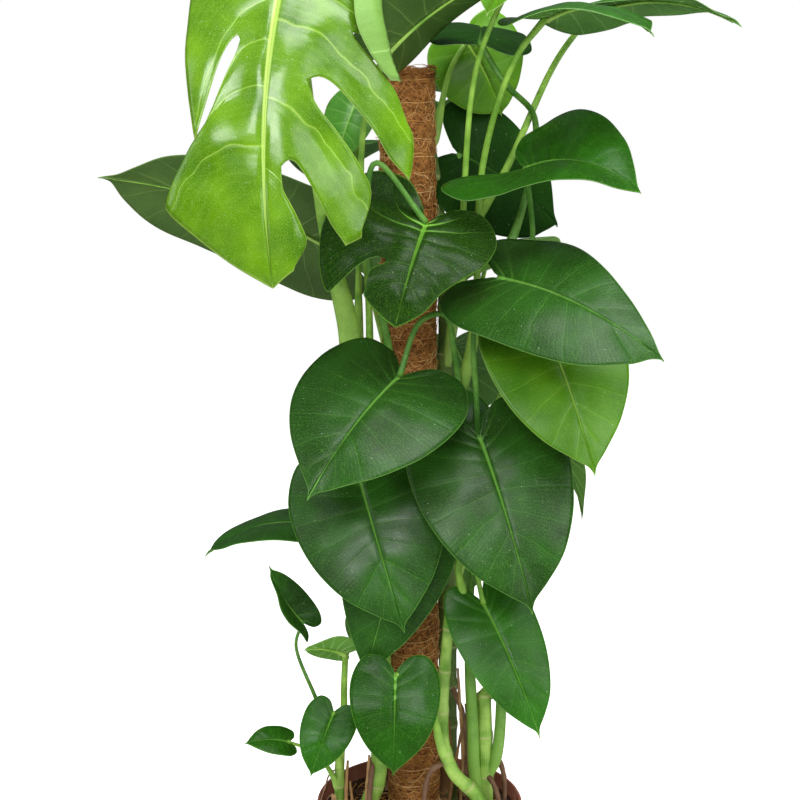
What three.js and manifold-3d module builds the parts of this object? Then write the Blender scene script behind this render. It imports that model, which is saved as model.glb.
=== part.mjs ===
// A potted monstera that climbs a coir pole: a plastic pot of soil, the pole with its stake, the
// stems planted round it, and each leaf with its stalk. Millimetres, +Z up. The origin is the
// middle of the pot's flat base, and the plant is seen from the front along +Y.
import * as THREE from "three";
import { mergeVertices } from "three/addons/utils/BufferGeometryUtils.js";
import Module from "manifold-3d";

const wasm = await Module();
wasm.setup();

const CLEARANCE = 0.3; // between pieces that touch on the real plant
const MERGE = 1e-4;
const UP = new THREE.Vector3(0, 0, 1);

const POT = {
  height: 200,
  rimRadius: 112,
  collarRadius: 109.5,
  collarHeight: 28,
  shoulderRadius: 105.5,
  baseRadius: 82,
  wall: 2.4,
  floor: 3,
  bevel: 1, // of the rim's edges, and of the step under the collar
  rimDepth: 5,
  segments: 36,
};
const DRAIN = { count: 6, radius: 6, circle: 58, sides: 10 };
const SOIL = {
  top: 183,
  rings: [1, 0.7, 0.4], // as shares of the top's radius
  bump: 2.5,
  edge: 4, // from the shoulder up to where the soil's side stands plumb
  wave: (x, y) => Math.sin(0.09 * x + 1.3) * Math.cos(0.11 * y) + 0.6 * Math.sin(0.21 * (x - y)),
};

const POLE = {
  foot: { x: -4, z: POT.floor + CLEARANCE },
  head: { x: -15, z: 986 },
  stakeRadius: 14,
  stakeTop: 976,
  coirRadius: 28,
  coirBottom: 60,
  crown: { height: 6, share: 0.75 }, // the bevel at the coir's top
  sides: 14,
  rows: 18,
  relief: 1.3,
  knob: (side, z) => Math.sin(2.4 * side + 0.05 * z) + 0.7 * Math.sin(1.1 * side - 0.13 * z),
};
const ROOM_ABOVE_SOIL = 40;

const BLADE_THICKNESS = 0.9;
const STALK = {
  sides: 5,
  steps: { short: 6, long: 9 },
  buried: 0.6, // how deep it starts in its stem, as a share of the stem's radius
  rise: 3, // how far it climbs beside the stem, in radii of the stem
  bow: [0.42, 0.62], // where it bends on the way to the joint: across, and up
  taper: 0.6,
};

const COLOURS = {
  pot: 0xa86a54,
  soil: 0x3a281d,
  stake: 0x9a7a55,
  coir: 0x9c6236,
  stem: 0x6f9a3e,
  bright: 0x74b32c,
  fresh: 0x4f9d33,
  mid: 0x2f6e2c,
  dark: 0x1d5127,
  olive: 0x6d8a4a,
};

// The margin of one half of a leaf, from the notch at the stalk to the tip: across as a share of
// the half width, and along as a share of the length.
const OUTLINES = {
  heart: [
    [0.05, -0.05], [0.32, -0.17], [0.7, -0.17], [0.96, 0.01], [1, 0.24],
    [0.87, 0.49], [0.6, 0.71], [0.27, 0.86], [0.06, 0.94], [0, 1],
  ],
  longEar: [
    [0.1, -0.16], [0.32, -0.5], [0.66, -0.58], [0.82, -0.34], [0.62, -0.02],
    [0.52, 0.3], [0.44, 0.55], [0.3, 0.78], [0.1, 0.93], [0, 1],
  ],
  slim: [
    [0.05, -0.05], [0.32, -0.19], [0.7, -0.19], [0.94, -0.02], [0.9, 0.22],
    [0.74, 0.45], [0.5, 0.67], [0.24, 0.84], [0.06, 0.94], [0, 1],
  ],
  winged: [
    [0.08, -0.14], [0.34, -0.38], [0.74, -0.42], [1.03, -0.15], [1.08, 0.35],
    [0.84, 0.86], [0.5, 0.66], [0.4, 0.83], [0.18, 0.95], [0, 1],
  ],
  drawnIn: [
    [0.08, -0.1], [0.28, -0.2], [0.58, -0.22], [0.8, -0.02], [0.76, 0.28],
    [0.56, 0.48], [0.4, 0.64], [0.27, 0.83], [0.1, 0.95], [0, 1],
  ],
  broad: [
    [0.05, -0.05], [0.34, -0.19], [0.74, -0.19], [0.98, 0], [1.02, 0.25],
    [0.95, 0.5], [0.75, 0.73], [0.4, 0.88], [0.09, 0.95], [0, 1],
  ],
  strapped: [
    [0.1, -0.14], [0.4, -0.18], [0.66, -0.06], [0.69, 0.2], [0.54, 0.56],
    [0.47, 0.63], [0.6, 0.72], [0.78, 0.8], [0.34, 0.93], [0, 1],
  ],
  lobed: [
    [0.1, -0.14], [0.5, -0.18], [0.74, -0.04], [0.84, 0.18], [1.14, 0.4],
    [1.2, 0.62], [0.98, 0.79], [0.58, 0.88], [0.2, 0.94], [0, 1],
  ],
};
// How late side veins leave the midrib, and how those of the right and left half bow to the tip.
const VEINS = [1.7, 1.5, 1.5];
const EAR_LEVEL = 6; // how soon the two ears beyond the joint level out

// Rows run along the side veins, from the notch (0) to the tip (1), and columns across a half.
const GRIDS = {
  large: { rows: [0, 0.13, 0.27, 0.43, 0.6, 0.77, 0.91, 1], columns: [0, 0.36, 0.7, 1] },
  small: { rows: [0, 0.15, 0.32, 0.52, 0.74, 0.91, 1], columns: [0, 0.52, 1] },
  cut: { rows: [0, 0.11, 0.22, 0.33, 0.44, 0.53, 0.63, 0.72, 0.81, 0.91, 1],
    columns: [0, 0.15, 0.3, 0.5, 0.75, 1] },
};
const LARGE_LEAF = 110; // length from which a leaf gets the finer grid

// Slots open from a place on their row to the margin, and holes close again before it. A cut's
// row is one of the cut grid's rows, and half is +1 for the half on the blade's right.
const CUTS = {
  crown: [
    { half: 1, row: 0.53, from: 0.5, gap: 0.045 },
    { half: -1, row: 0.44, from: 0.5, gap: 0.02 },
    { half: -1, row: 0.63, from: 0.3, gap: 0.035 },
    { half: -1, row: 0.81, from: 0.3, gap: 0.03 },
  ],
  split: [{ half: 1, row: 0.63, from: 0.5, gap: 0.045 }],
  windowed: [
    { half: 1, row: 0.63, from: 0.15, to: 0.75, gap: 0.035 },
    { half: 1, row: 0.44, from: 0.5, gap: 0.03 },
    { half: -1, row: 0.53, from: 0.3, gap: 0.03 },
  ],
};

// Each stem: points up its middle, its radius at the soil and at the top, and its aerial roots.
const STEMS = {
  main: {
    points: [[33, 24, 60], [32, 22, 200], [30, 20, 420], [27, 20, 640], [26, 21, 760], [15, 38, 850],
      [6, 46, 925]],
    radius: [11, 8],
    roots: [[[32, 18, 330], [46, 2, 300], [52, 0, 240], [50, 4, 150]]],
  },
  left: {
    points: [[-70, -32, 110], [-62, -30, 185], [-45, -34, 245], [-43, -22, 330], [-50, -10, 450],
      [-56, -8, 600], [-60, -6, 690]],
    radius: [10, 8],
    roots: [[[-50, -30, 262], [-52, -48, 250], [-54, -56, 215], [-50, -58, 130]]],
  },
  right: {
    points: [[70, -14, 110], [71, -16, 200], [70, -18, 270], [68, -16, 335]],
    radius: [10, 8],
    roots: [[[72, -16, 262], [84, -10, 252], [92, -8, 228], [88, -10, 140]],
      [[70, -18, 240], [79, -32, 232], [86, -35, 205], [88, -28, 150]]],
  },
  front: {
    points: [[66, -46, 120], [72, -53, 186], [58, -56, 232], [36, -56, 256], [25, -54, 285],
      [23, -52, 320], [26, -53, 380], [31, -52, 440]],
    radius: [8.5, 5.5],
    roots: [[[28, -55, 268], [12, -60, 262], [4, -56, 225], [6, -54, 130]]],
  },
  small: {
    points: [[-88, -24, 150], [-87, -28, 190], [-86, -30, 250], [-84, -30, 290]],
    radius: [6, 5],
    roots: [],
  },
  back: {
    points: [[-6, 62, 80], [-6, 56, 200], [-8, 48, 380], [-10, 45, 560], [-12, 45, 700]],
    radius: [10, 7],
    roots: [[[-8, 52, 300], [-28, 54, 290], [-36, 52, 240], [-34, 54, 140]]],
  },
};
const STEM_SIDES = 8;
const STEM_STEPS = 12;
const STEM_NODE_BULGE = [1.1, 0.96]; // a joint of the stem, and the stretch between two joints
const HALVINGS = 24; // enough to find a height on a stem to less than a thousandth
const ROOT = { radius: 3.2, sides: 5, steps: 7 };

// Each leaf: the stem it grows on and how high its stalk leaves it, the joint of stalk and blade,
// the tip, the way its upper side faces, and the blade's width. arch lifts the midrib's middle and
// sway moves it to the right. fold and curl are the degrees by which each half leans forward at
// the midrib and bends on to the margin. stalk is the stalk's radius at its two ends, and via are
// points it bends through. outlines are those of the right and left half, where they aren't the
// plain heart, and veins are the leaf's own values of VEINS.
const LEAVES = [
  // Crown
  { name: "crown_leaf_1", colour: "bright", stem: "left", from: 650, joint: [-118, -150, 1085],
    tip: [-133, -215, 790], face: [0.05, -1, 0.2], width: 232, arch: 26, fold: -4, curl: -26,
    outlines: ["strapped", "lobed"], cuts: "crown", stalk: [9, 4.5],
    via: [[-74, -30, 730], [-95, -58, 830], [-108, -96, 960]], veins: [2.2, 3, 1.8], sway: 14 },
  { name: "crown_leaf_2", colour: "olive", stem: "left", from: 560, joint: [-98, 72, 799],
    tip: [-338, 60, 872], face: [-0.1, 0.7, 0.72], width: 165, arch: 18, fold: 6, curl: -24,
    stalk: [5, 2.6], via: [[-72, 16, 700]], outlines: ["broad", "heart"] },
  { name: "crown_leaf_3", colour: "olive", stem: "left", from: 540, joint: [-36, -80, 994],
    tip: [104, -100, 1076], face: [-0.3, 0.5, 0.8], width: 108, arch: 14, fold: 8, curl: 4,
    stalk: [5, 2.8], via: [[-52, -28, 640], [-53, -28, 760], [-60, -22, 860], [-56, -46, 930]] },
  { name: "crown_leaf_4", colour: "dark", stem: "main", from: 740, joint: [56, -30, 1006],
    tip: [62, 80, 1020], face: [0.12, -0.3, 1], width: 104, arch: 10, fold: 5, curl: -22,
    stalk: [5, 2.6], via: [[84, -6, 800], [113, 15, 890], [112, -6, 936], [80, -40, 968]] },
  { name: "crown_leaf_5", colour: "mid", stem: "main", from: 600, joint: [116, -72, 1028],
    tip: [206, -150, 1008], face: [0.2, -0.1, 1], width: 136, arch: 18, fold: 6, curl: -34,
    stalk: [5, 2.8], via: [[54, -14, 720], [60, -38, 890], [88, -70, 990]] },
  { name: "crown_leaf_6", colour: "mid", stem: "main", from: 770, joint: [168, -20, 1038],
    tip: [302, -66, 1020], face: [0.15, 0.05, 1], width: 124, arch: 16, fold: 6, curl: -26,
    stalk: [5, 2.8], via: [[84, 4, 880], [134, 0, 990]] },
  { name: "crown_leaf_7", colour: "bright", stem: "main", from: 680, joint: [88, -112, 1076],
    tip: [56, -134, 1026], face: [0.1, -0.5, 0.8], width: 70, arch: 8, fold: 30, curl: 10,
    stalk: [4.5, 2.4], via: [[40, -30, 780], [42, -38, 868], [52, -68, 985]] },
  { name: "crown_leaf_8", colour: "fresh", stem: "main", from: 905, joint: [48, 82, 1012],
    tip: [88, 112, 934], face: [0.1, -0.9, 0.3], width: 105, arch: 10, fold: 4, curl: -8,
    stalk: [4.5, 2.4] },
  { name: "crown_leaf_9", colour: "dark", stem: "main", from: 640, joint: [40, 66, 896],
    tip: [152, 128, 814], face: [0.1, -0.8, 0.6], width: 150, arch: 14, fold: 4, curl: -10,
    stalk: [4.5, 2.6] },
  { name: "crown_leaf_10", colour: "dark", stem: "right", from: 325, joint: [100, -62, 888],
    tip: [206, -104, 866], face: [0.05, -0.6, 0.8], width: 156, arch: 22, fold: 9, curl: -12,
    stalk: [5.5, 2.6], via: [[98, -14, 520], [106, -8, 740], [112, -14, 815]],
    outlines: ["longEar", "heart"] },
  { name: "crown_leaf_11", colour: "fresh", stem: "left", from: 670, joint: [-66, 24, 950],
    tip: [-86, -4, 885], face: [-0.3, -1, 0.2], width: 56, arch: 6, fold: 0, curl: -8,
    stalk: [4, 2.2], via: [[-64, 8, 800]] },
  { name: "crown_leaf_12", colour: "dark", stem: "left", from: 600, joint: [4, -78, 836],
    tip: [-26, -128, 742], face: [-0.05, -0.9, 0.4], width: 176, arch: 16, fold: 2, curl: -14,
    cuts: "split", stalk: [4.5, 2.6],
    via: [[-33, -36, 700], [-52, -54, 800], [-45, -70, 893]], outlines: ["winged", "drawnIn"],
    veins: [1.9, 2.6, 1.5] },
  { name: "crown_leaf_13", colour: "fresh", stem: "main", from: 560, joint: [72, 38, 800],
    tip: [156, 96, 790], face: [0, 0.3, 0.9], width: 92, arch: 8, fold: 4, curl: -14,
    stalk: [4, 2.2], via: [[52, 40, 700]] },
  // Middle
  { name: "middle_leaf_1", colour: "dark", stem: "right", from: 210, joint: [76, -72, 782],
    tip: [222, -165, 716], face: [0.2, -0.82, 0.62], width: 146, arch: 20, fold: 4, curl: -16,
    stalk: [5, 2.6], via: [[56, -28, 300], [51, -32, 400], [54, -32, 480], [57, -36, 630], [54, -52, 742]],
    outlines: ["broad", "slim"] },
  { name: "middle_leaf_2", colour: "bright", stem: "main", from: 500, joint: [120, -46, 738],
    tip: [168, -116, 594], face: [0.15, -1, 0.35], width: 142, arch: 12, fold: 2, curl: -8,
    stalk: [4.5, 2.4], via: [[76, -14, 640]] },
  { name: "middle_leaf_3", colour: "dark", stem: "main", from: 560, joint: [-22, -80, 686],
    tip: [-108, -180, 588], face: [-0.1, -0.75, 0.65], width: 164, arch: 16, fold: 4, curl: -16,
    stalk: [4.5, 2.6], via: [[40, -4, 640], [34, -28, 700], [22, -56, 744], [-2, -68, 738]] },
  { name: "middle_leaf_4", colour: "dark", stem: "right", from: 235, joint: [58, -62, 622],
    tip: [108, -135, 460], face: [0.1, -0.95, 0.4], width: 162, arch: 16, fold: 2, curl: -12,
    stalk: [4.5, 2.6], via: [[86, -28, 330], [78, -36, 420], [58, -46, 530]] },
  { name: "middle_leaf_5", colour: "dark", stem: "left", from: 400, joint: [-64, -58, 582],
    tip: [-17, -118, 435], face: [-0.05, -0.95, 0.4], width: 156, arch: 14, fold: 2, curl: -14,
    stalk: [4.5, 2.4], via: [[-68, -24, 500]] },
  { name: "middle_leaf_6", colour: "mid", stem: "left", from: 330, joint: [-20, -53, 508],
    tip: [-57, -72, 370], face: [-0.1, -1, 0.2], width: 122, arch: 8, fold: 2, curl: -10,
    stalk: [4, 2.4], via: [[-34, -38, 420]], outlines: ["slim", "slim"] },
  { name: "middle_leaf_7", colour: "mid", stem: "left", from: 420, joint: [-112, 2, 512],
    tip: [-230, 8, 474], face: [-0.2, -0.1, 1], width: 88, arch: 16, fold: 6, curl: -20,
    stalk: [4, 2.2] },
  { name: "middle_leaf_8", colour: "olive", stem: "main", from: 430, joint: [130, 26, 622],
    tip: [170, -14, 522], face: [0.8, -0.3, 0.5], width: 62, arch: 8, fold: 16, curl: -10,
    stalk: [4, 2.2] },
  { name: "middle_leaf_9", colour: "dark", stem: "main", from: 470, joint: [36, -20, 636],
    tip: [84, -22, 564], face: [0.1, -1, 0.2], width: 64, arch: 5, fold: 0, curl: -6,
    stalk: [3.5, 2] },
  // Foot
  { name: "lower_leaf_1", colour: "mid", stem: "front", from: 425, joint: [64, -62, 446],
    tip: [120, -116, 322], face: [0.2, -0.9, 0.4], width: 90, arch: 12, fold: 4, curl: -14,
    stalk: [4.5, 2.4], via: [[38, -54, 488], [49, -58, 500]] },
  { name: "lower_leaf_2", colour: "mid", stem: "front", from: 275, joint: [-26, -88, 380],
    tip: [-28, -120, 284], face: [0, -1, 0.35], width: 92, arch: 10, fold: 8, curl: -14,
    stalk: [4.2, 2.2], via: [[8, -76, 350]] },
  { name: "lower_leaf_3", colour: "mid", stem: "small", from: 250, joint: [-90, -74, 332],
    tip: [-113, -102, 274], face: [-0.1, -1, 0.35], width: 56, arch: 6, fold: 6, curl: -12,
    stalk: [3, 1.8] },
  { name: "lower_leaf_4", colour: "mid", stem: "small", from: 225, joint: [-138, -70, 298],
    tip: [-182, -84, 302], face: [-0.1, -0.6, 0.8], width: 36, arch: 6, fold: 6, curl: -14,
    stalk: [2.6, 1.6] },
  { name: "lower_leaf_5", colour: "dark", stem: "small", from: 270, joint: [-122, -58, 424],
    tip: [-152, -82, 492], face: [0.7, -0.6, 0.4], width: 46, arch: -6, fold: 24, curl: 6,
    stalk: [2.8, 1.6], via: [[-112, -34, 335], [-130, -42, 392]] },
  { name: "lower_leaf_6", colour: "fresh", stem: "small", from: 284, joint: [-78, -50, 388],
    tip: [-120, -78, 402], face: [-0.2, 0.75, 0.65], width: 44, arch: 4, fold: 4, curl: 4,
    stalk: [4.5, 3.2] },
  // Behind the pole
  { name: "back_leaf_1", colour: "mid", stem: "back", from: 560, joint: [-10, 112, 790],
    tip: [-24, 228, 722], face: [-0.1, 0.7, 0.8], width: 142, arch: 20, fold: 4, curl: -16,
    stalk: [4.5, 2.6] },
  { name: "back_leaf_2", colour: "dark", stem: "back", from: 500, joint: [36, 106, 690],
    tip: [66, 196, 580], face: [0.2, 0.9, 0.5], width: 148, arch: 18, fold: 4, curl: -16,
    stalk: [4.5, 2.6] },
  { name: "back_leaf_3", colour: "dark", stem: "back", from: 420, joint: [-30, 100, 585],
    tip: [-54, 182, 468], face: [-0.2, 1, 0.45], width: 138, arch: 16, fold: 4, curl: -14,
    stalk: [4.5, 2.4] },
  { name: "back_leaf_4", colour: "mid", stem: "back", from: 340, joint: [34, 94, 480],
    tip: [50, 160, 370], face: [0.1, 1, 0.4], width: 116, arch: 12, fold: 4, curl: -14,
    stalk: [4, 2.2] },
  { name: "back_leaf_5", colour: "mid", stem: "back", from: 260, joint: [-34, 96, 385],
    tip: [-52, 150, 292], face: [-0.2, 1, 0.4], width: 92, arch: 10, fold: 4, curl: -14,
    stalk: [3.5, 2] },
  { name: "back_leaf_6", colour: "mid", stem: "back", from: 690, joint: [-2, 126, 966],
    tip: [-12, 246, 906], face: [0, 0.5, 0.9], width: 152, arch: 24, fold: 4, curl: -16,
    cuts: "windowed", stalk: [5, 2.8] },
  { name: "back_leaf_7", colour: "mid", stem: "back", from: 620, joint: [-66, 92, 905],
    tip: [-112, 196, 850], face: [-0.3, 0.5, 0.9], width: 132, arch: 20, fold: 4, curl: -16,
    stalk: [4.5, 2.6], via: [[-56, 74, 770]] },
  { name: "back_leaf_8", colour: "mid", stem: "right", from: 270, joint: [82, 48, 400],
    tip: [98, 104, 318], face: [0.3, 1, 0.4], width: 82, arch: 10, fold: 4, curl: -14,
    stalk: [3.5, 2] },
];

// The solid of a geometry, with its shared vertices merged and its collapsed faces dropped.
function solidOf(geometry) {
  const bare = new THREE.BufferGeometry();
  bare.setAttribute("position", geometry.getAttribute("position"));
  if (geometry.index) bare.setIndex(geometry.index);
  const merged = mergeVertices(bare, MERGE);
  const old = merged.index.array;
  const triVerts = [];
  for (let i = 0; i < old.length; i += 3) {
    const [a, b, c] = [old[i], old[i + 1], old[i + 2]];
    if (a !== b && b !== c && c !== a) triVerts.push(a, b, c);
  }
  return new wasm.Manifold(
    new wasm.Mesh({
      numProp: 3,
      vertProperties: merged.getAttribute("position").array,
      triVerts: new Uint32Array(triVerts),
    }),
  );
}

function geometryOf(solid) {
  const mesh = solid.getMesh();
  const geometry = new THREE.BufferGeometry();
  geometry.setAttribute("position", new THREE.BufferAttribute(mesh.vertProperties, mesh.numProp));
  geometry.setIndex(new THREE.BufferAttribute(mesh.triVerts, 1));
  geometry.computeVertexNormals();
  return geometry;
}

function largestBody(solid) {
  return solid.decompose().reduce((a, b) => (b.volume() > a.volume() ? b : a));
}

function lathe(profile, segments) {
  const points = profile.map(([r, z]) => new THREE.Vector2(r, z));
  return new THREE.LatheGeometry(points, segments).rotateX(Math.PI / 2);
}

function vector(list) {
  return new THREE.Vector3(...list);
}

// A tube along a curve whose radius is a function of the share of the way along it.
function tube(curve, radiusAt, sides, steps) {
  const ring = new THREE.Shape();
  for (let i = 0; i < sides; i += 1) {
    const angle = (2 * Math.PI * i) / sides;
    const put = i ? "lineTo" : "moveTo";
    ring[put](Math.cos(angle), Math.sin(angle));
  }
  ring.closePath();
  const geometry = new THREE.ExtrudeGeometry(ring, {
    steps,
    extrudePath: curve,
    bevelEnabled: false,
  });
  const centres = curve.getSpacedPoints(steps);
  const position = geometry.getAttribute("position");
  const point = new THREE.Vector3();
  for (let i = 0; i < position.count; i += 1) {
    point.fromBufferAttribute(position, i);
    const offsets = centres.map((c) => Math.abs(point.distanceTo(c) - 1));
    const nearest = offsets.indexOf(Math.min(...offsets));
    const centre = centres[nearest];
    point.sub(centre).multiplyScalar(radiusAt(nearest / steps, nearest)).add(centre);
    position.setXYZ(i, point.x, point.y, point.z);
  }
  return geometry;
}

function poleX(z) {
  const share = (z - POLE.foot.z) / (POLE.head.z - POLE.foot.z);
  return THREE.MathUtils.lerp(POLE.foot.x, POLE.head.x, share);
}

// Leans an upright geometry with the pole, keeping its sections level.
function leanWithPole(geometry) {
  const position = geometry.getAttribute("position");
  for (let i = 0; i < position.count; i += 1) {
    position.setX(i, position.getX(i) + poleX(position.getZ(i)));
  }
  return geometry;
}

function potSolid() {
  const { height, rimRadius, collarRadius, shoulderRadius, baseRadius, wall, floor, bevel } = POT;
  const shoulder = height - POT.collarHeight;
  const rimFoot = height - POT.rimDepth;
  const body = solidOf(
    lathe([
      [0, 0], [baseRadius, 0], [shoulderRadius, shoulder], [collarRadius, shoulder + bevel],
      [rimRadius - bevel, rimFoot], [rimRadius, rimFoot + 2 * bevel], [rimRadius - bevel, height],
      [rimRadius - bevel - wall, height], [collarRadius - wall, shoulder + 3 * bevel],
      [shoulderRadius - wall, shoulder], [baseRadius - wall, floor], [0, floor],
    ], POT.segments),
  );
  const drain = new THREE.CylinderGeometry(DRAIN.radius, DRAIN.radius, 4 * floor, DRAIN.sides);
  drain.rotateX(Math.PI / 2);
  let drained = body;
  for (let i = 0; i < DRAIN.count; i += 1) {
    const angle = (2 * Math.PI * (i + 0.5)) / DRAIN.count;
    const [x, y] = [DRAIN.circle * Math.cos(angle), DRAIN.circle * Math.sin(angle)];
    drained = drained.subtract(solidOf(drain.clone().translate(x, y, 0)));
  }
  return drained;
}

// The soil stands a clearance inside the pot, and the rings of its top are raised and sunk.
function soilSolid() {
  const shoulder = POT.height - POT.collarHeight;
  const inner = (radius) => radius - POT.wall - CLEARANCE;
  const topRadius = inner(POT.collarRadius) - CLEARANCE;
  const profile = [
    [0, POT.floor + CLEARANCE],
    [inner(POT.baseRadius), POT.floor + CLEARANCE],
    [inner(POT.shoulderRadius), shoulder],
    [topRadius, shoulder + SOIL.edge],
    ...SOIL.rings.map((share) => [share * topRadius, SOIL.top]),
    [0, SOIL.top],
  ];
  const geometry = lathe(profile, POT.segments);
  const position = geometry.getAttribute("position");
  for (let i = 0; i < position.count; i += 1) {
    if (position.getZ(i) < SOIL.top - 1) continue;
    const wave = SOIL.wave(position.getX(i), position.getY(i));
    position.setZ(i, SOIL.top + SOIL.bump * wave);
  }
  return solidOf(geometry);
}

function stakeGeometry(grow) {
  const radius = POLE.stakeRadius + grow;
  const [bottom, top] = [POLE.foot.z - grow, POLE.stakeTop + grow];
  return leanWithPole(lathe([[0, bottom], [radius, bottom], [radius, top], [0, top]], POLE.sides));
}

// The coir is a sleeve with a closed top, and its outside is knobbly.
function coirGeometry() {
  const bore = POLE.stakeRadius + CLEARANCE;
  const boreTop = POLE.stakeTop + CLEARANCE;
  const { coirRadius, coirBottom, rows, relief, crown } = POLE;
  const top = POLE.head.z;
  const shoulder = top - crown.height;
  const profile = [[0, boreTop], [bore, boreTop], [bore, coirBottom]];
  for (let i = 0; i <= rows; i += 1) {
    profile.push([coirRadius, THREE.MathUtils.lerp(coirBottom, shoulder, i / rows)]);
  }
  profile.push([crown.share * coirRadius, top], [0, top]);
  const geometry = lathe(profile, POLE.sides);
  const position = geometry.getAttribute("position");
  for (let i = 0; i < position.count; i += 1) {
    const [x, y, z] = [position.getX(i), position.getY(i), position.getZ(i)];
    if (Math.hypot(x, y) < bore + 1) continue;
    const side = Math.round((Math.atan2(y, x) * POLE.sides) / (2 * Math.PI) + 0.5);
    const scale = 1 + (relief * POLE.knob(side, z)) / coirRadius / 2;
    position.setX(i, x * scale);
    position.setY(i, y * scale);
  }
  return leanWithPole(geometry);
}

// The room that the pole needs in the soil: a plain round hole for the coir and the stake.
function poleRoom() {
  const wide = POLE.coirRadius + POLE.relief + CLEARANCE;
  const narrow = POLE.stakeRadius + CLEARANCE;
  const [bottom, top] = [0, SOIL.top + ROOM_ABOVE_SOIL];
  const step = POLE.coirBottom - CLEARANCE;
  const profile = [[0, bottom], [narrow, bottom], [narrow, step], [wide, step], [wide, top], [0, top]];
  return solidOf(leanWithPole(lathe(profile, POLE.sides)));
}

function stemCurve(stem) {
  return new THREE.CatmullRomCurve3(stem.points.map(vector), false, "centripetal");
}

function stemSolid(stem, grow) {
  const [low, high] = stem.radius;
  const radiusAt = (share, step) =>
    THREE.MathUtils.lerp(low, high, share) * STEM_NODE_BULGE[step % 2] + grow;
  let solid = solidOf(tube(stemCurve(stem), radiusAt, STEM_SIDES, STEM_STEPS));
  for (const points of stem.roots) {
    const curve = new THREE.CatmullRomCurve3(points.map(vector), false, "centripetal");
    const root = tube(curve, () => ROOT.radius + grow, ROOT.sides, ROOT.steps);
    solid = solid.add(solidOf(root));
  }
  return solid;
}

// The point up a stem's middle at a height, found by halving, because each stem only rises.
function stemPoint(stem, height) {
  const curve = stemCurve(stem);
  let [low, high] = [0, 1];
  for (let i = 0; i < HALVINGS; i += 1) {
    const middle = (low + high) / 2;
    if (curve.getPoint(middle).z < height) low = middle;
    else high = middle;
  }
  return curve.getPoint(low);
}

// The directions of a blade and the function that bends a flat point of it into place.
function bladeFrame(leaf) {
  const joint = vector(leaf.joint);
  const chord = vector(leaf.tip).sub(joint);
  const length = chord.length();
  const along = chord.clone().normalize();
  const facing = vector(leaf.face);
  const normal = facing.sub(along.clone().multiplyScalar(facing.dot(along))).normalize();
  const across = along.clone().cross(normal);
  const half = leaf.width / 2;
  const fold = THREE.MathUtils.degToRad(leaf.fold);
  const curl = THREE.MathUtils.degToRad(leaf.curl);
  const ears = (share) => 1 - EAR_LEVEL * share;
  const lift = (share) => 4 * leaf.arch * share * (share > 0 ? 1 - share : 1 / ears(share));
  const slope = (share) => 4 * leaf.arch * (share > 0 ? 1 - 2 * share : ears(share) ** -2);
  const sway = (share) => (4 * (leaf.sway ?? 0) * share * (1 - share)) / ears(Math.min(share, 0));
  const midrib = (share) =>
    joint
      .clone()
      .addScaledVector(along, share * length)
      .addScaledVector(normal, lift(share))
      .addScaledVector(across, sway(share));
  const normalAt = (share) => {
    const tangent = along.clone().multiplyScalar(length).addScaledVector(normal, slope(share));
    return across.clone().cross(tangent).normalize();
  };
  const bend = (x, y) => {
    const share = y / length;
    const reach = Math.abs(x) / half;
    const turned = fold + curl * reach;
    const out = (Math.sin(turned) - Math.sin(fold)) / curl;
    const rise = (Math.cos(fold) - Math.cos(turned)) / curl;
    return midrib(share)
      .addScaledVector(across, Math.sign(x) * half * out)
      .addScaledVector(normalAt(share), half * rise);
  };
  return { length, bend };
}

function marginCurve(name) {
  return new THREE.SplineCurve(OUTLINES[name].map(([x, y]) => new THREE.Vector2(x, y)));
}

// A flat point of one half of a blade, at a row along its side veins and a share across.
function flatPoint(margin, leaf, half, length, row, column) {
  const edge = margin.getPoint(row);
  const [late, ...bows] = leaf.veins ?? VEINS;
  const bow = bows[half > 0 ? 0 : 1];
  const foot = row ** late;
  const x = (edge.x * column * leaf.width) / 2;
  const y = (foot + (edge.y - foot) * column ** bow) * length;
  return [half * x, y];
}

// How far a row parts at a column where a cut runs along it.
function parting(cuts, half, row, column) {
  const cut = cuts.find((c) => c.half === half && c.row === row);
  if (!cut || column <= cut.from || column >= (cut.to ?? Infinity)) return 0;
  return cut.gap;
}

// The blade is one sheet of triangles, thickened both ways along its own normals, so that its
// two faces are split alike and never cross.
function bladeSolid(leaf) {
  const frame = bladeFrame(leaf);
  const [right, left] = (leaf.outlines ?? ["heart", "heart"]).map(marginCurve);
  const cuts = CUTS[leaf.cuts] ?? [];
  const size = frame.length < LARGE_LEAF ? "small" : "large";
  const { rows, columns } = GRIDS[cuts.length ? "cut" : size];
  const sheet = [];
  const known = new Map();
  const vertex = (half, row, column, way) => {
    const moved = row + way * parting(cuts, half, row, column);
    const margin = half > 0 ? right : left;
    const [x, y] = flatPoint(margin, leaf, half, frame.length, moved, column);
    const key = x.toFixed(2) + " " + y.toFixed(2);
    if (!known.has(key)) {
      known.set(key, sheet.length);
      sheet.push(frame.bend(x, y));
    }
    return known.get(key);
  };
  const faces = [];
  const addFace = (half, a, b, c) => {
    if (a === b || b === c || c === a) return;
    faces.push(half > 0 ? [a, b, c] : [a, c, b]);
  };
  for (const half of [1, -1]) {
    for (let i = 0; i + 1 < rows.length; i += 1) {
      for (let j = 0; j + 1 < columns.length; j += 1) {
        const a = vertex(half, rows[i], columns[j], 1);
        const b = vertex(half, rows[i], columns[j + 1], 1);
        const c = vertex(half, rows[i + 1], columns[j + 1], -1);
        const d = vertex(half, rows[i + 1], columns[j], -1);
        addFace(half, a, b, c);
        addFace(half, a, c, d);
      }
    }
  }
  return thickened(sheet, faces);
}

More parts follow.
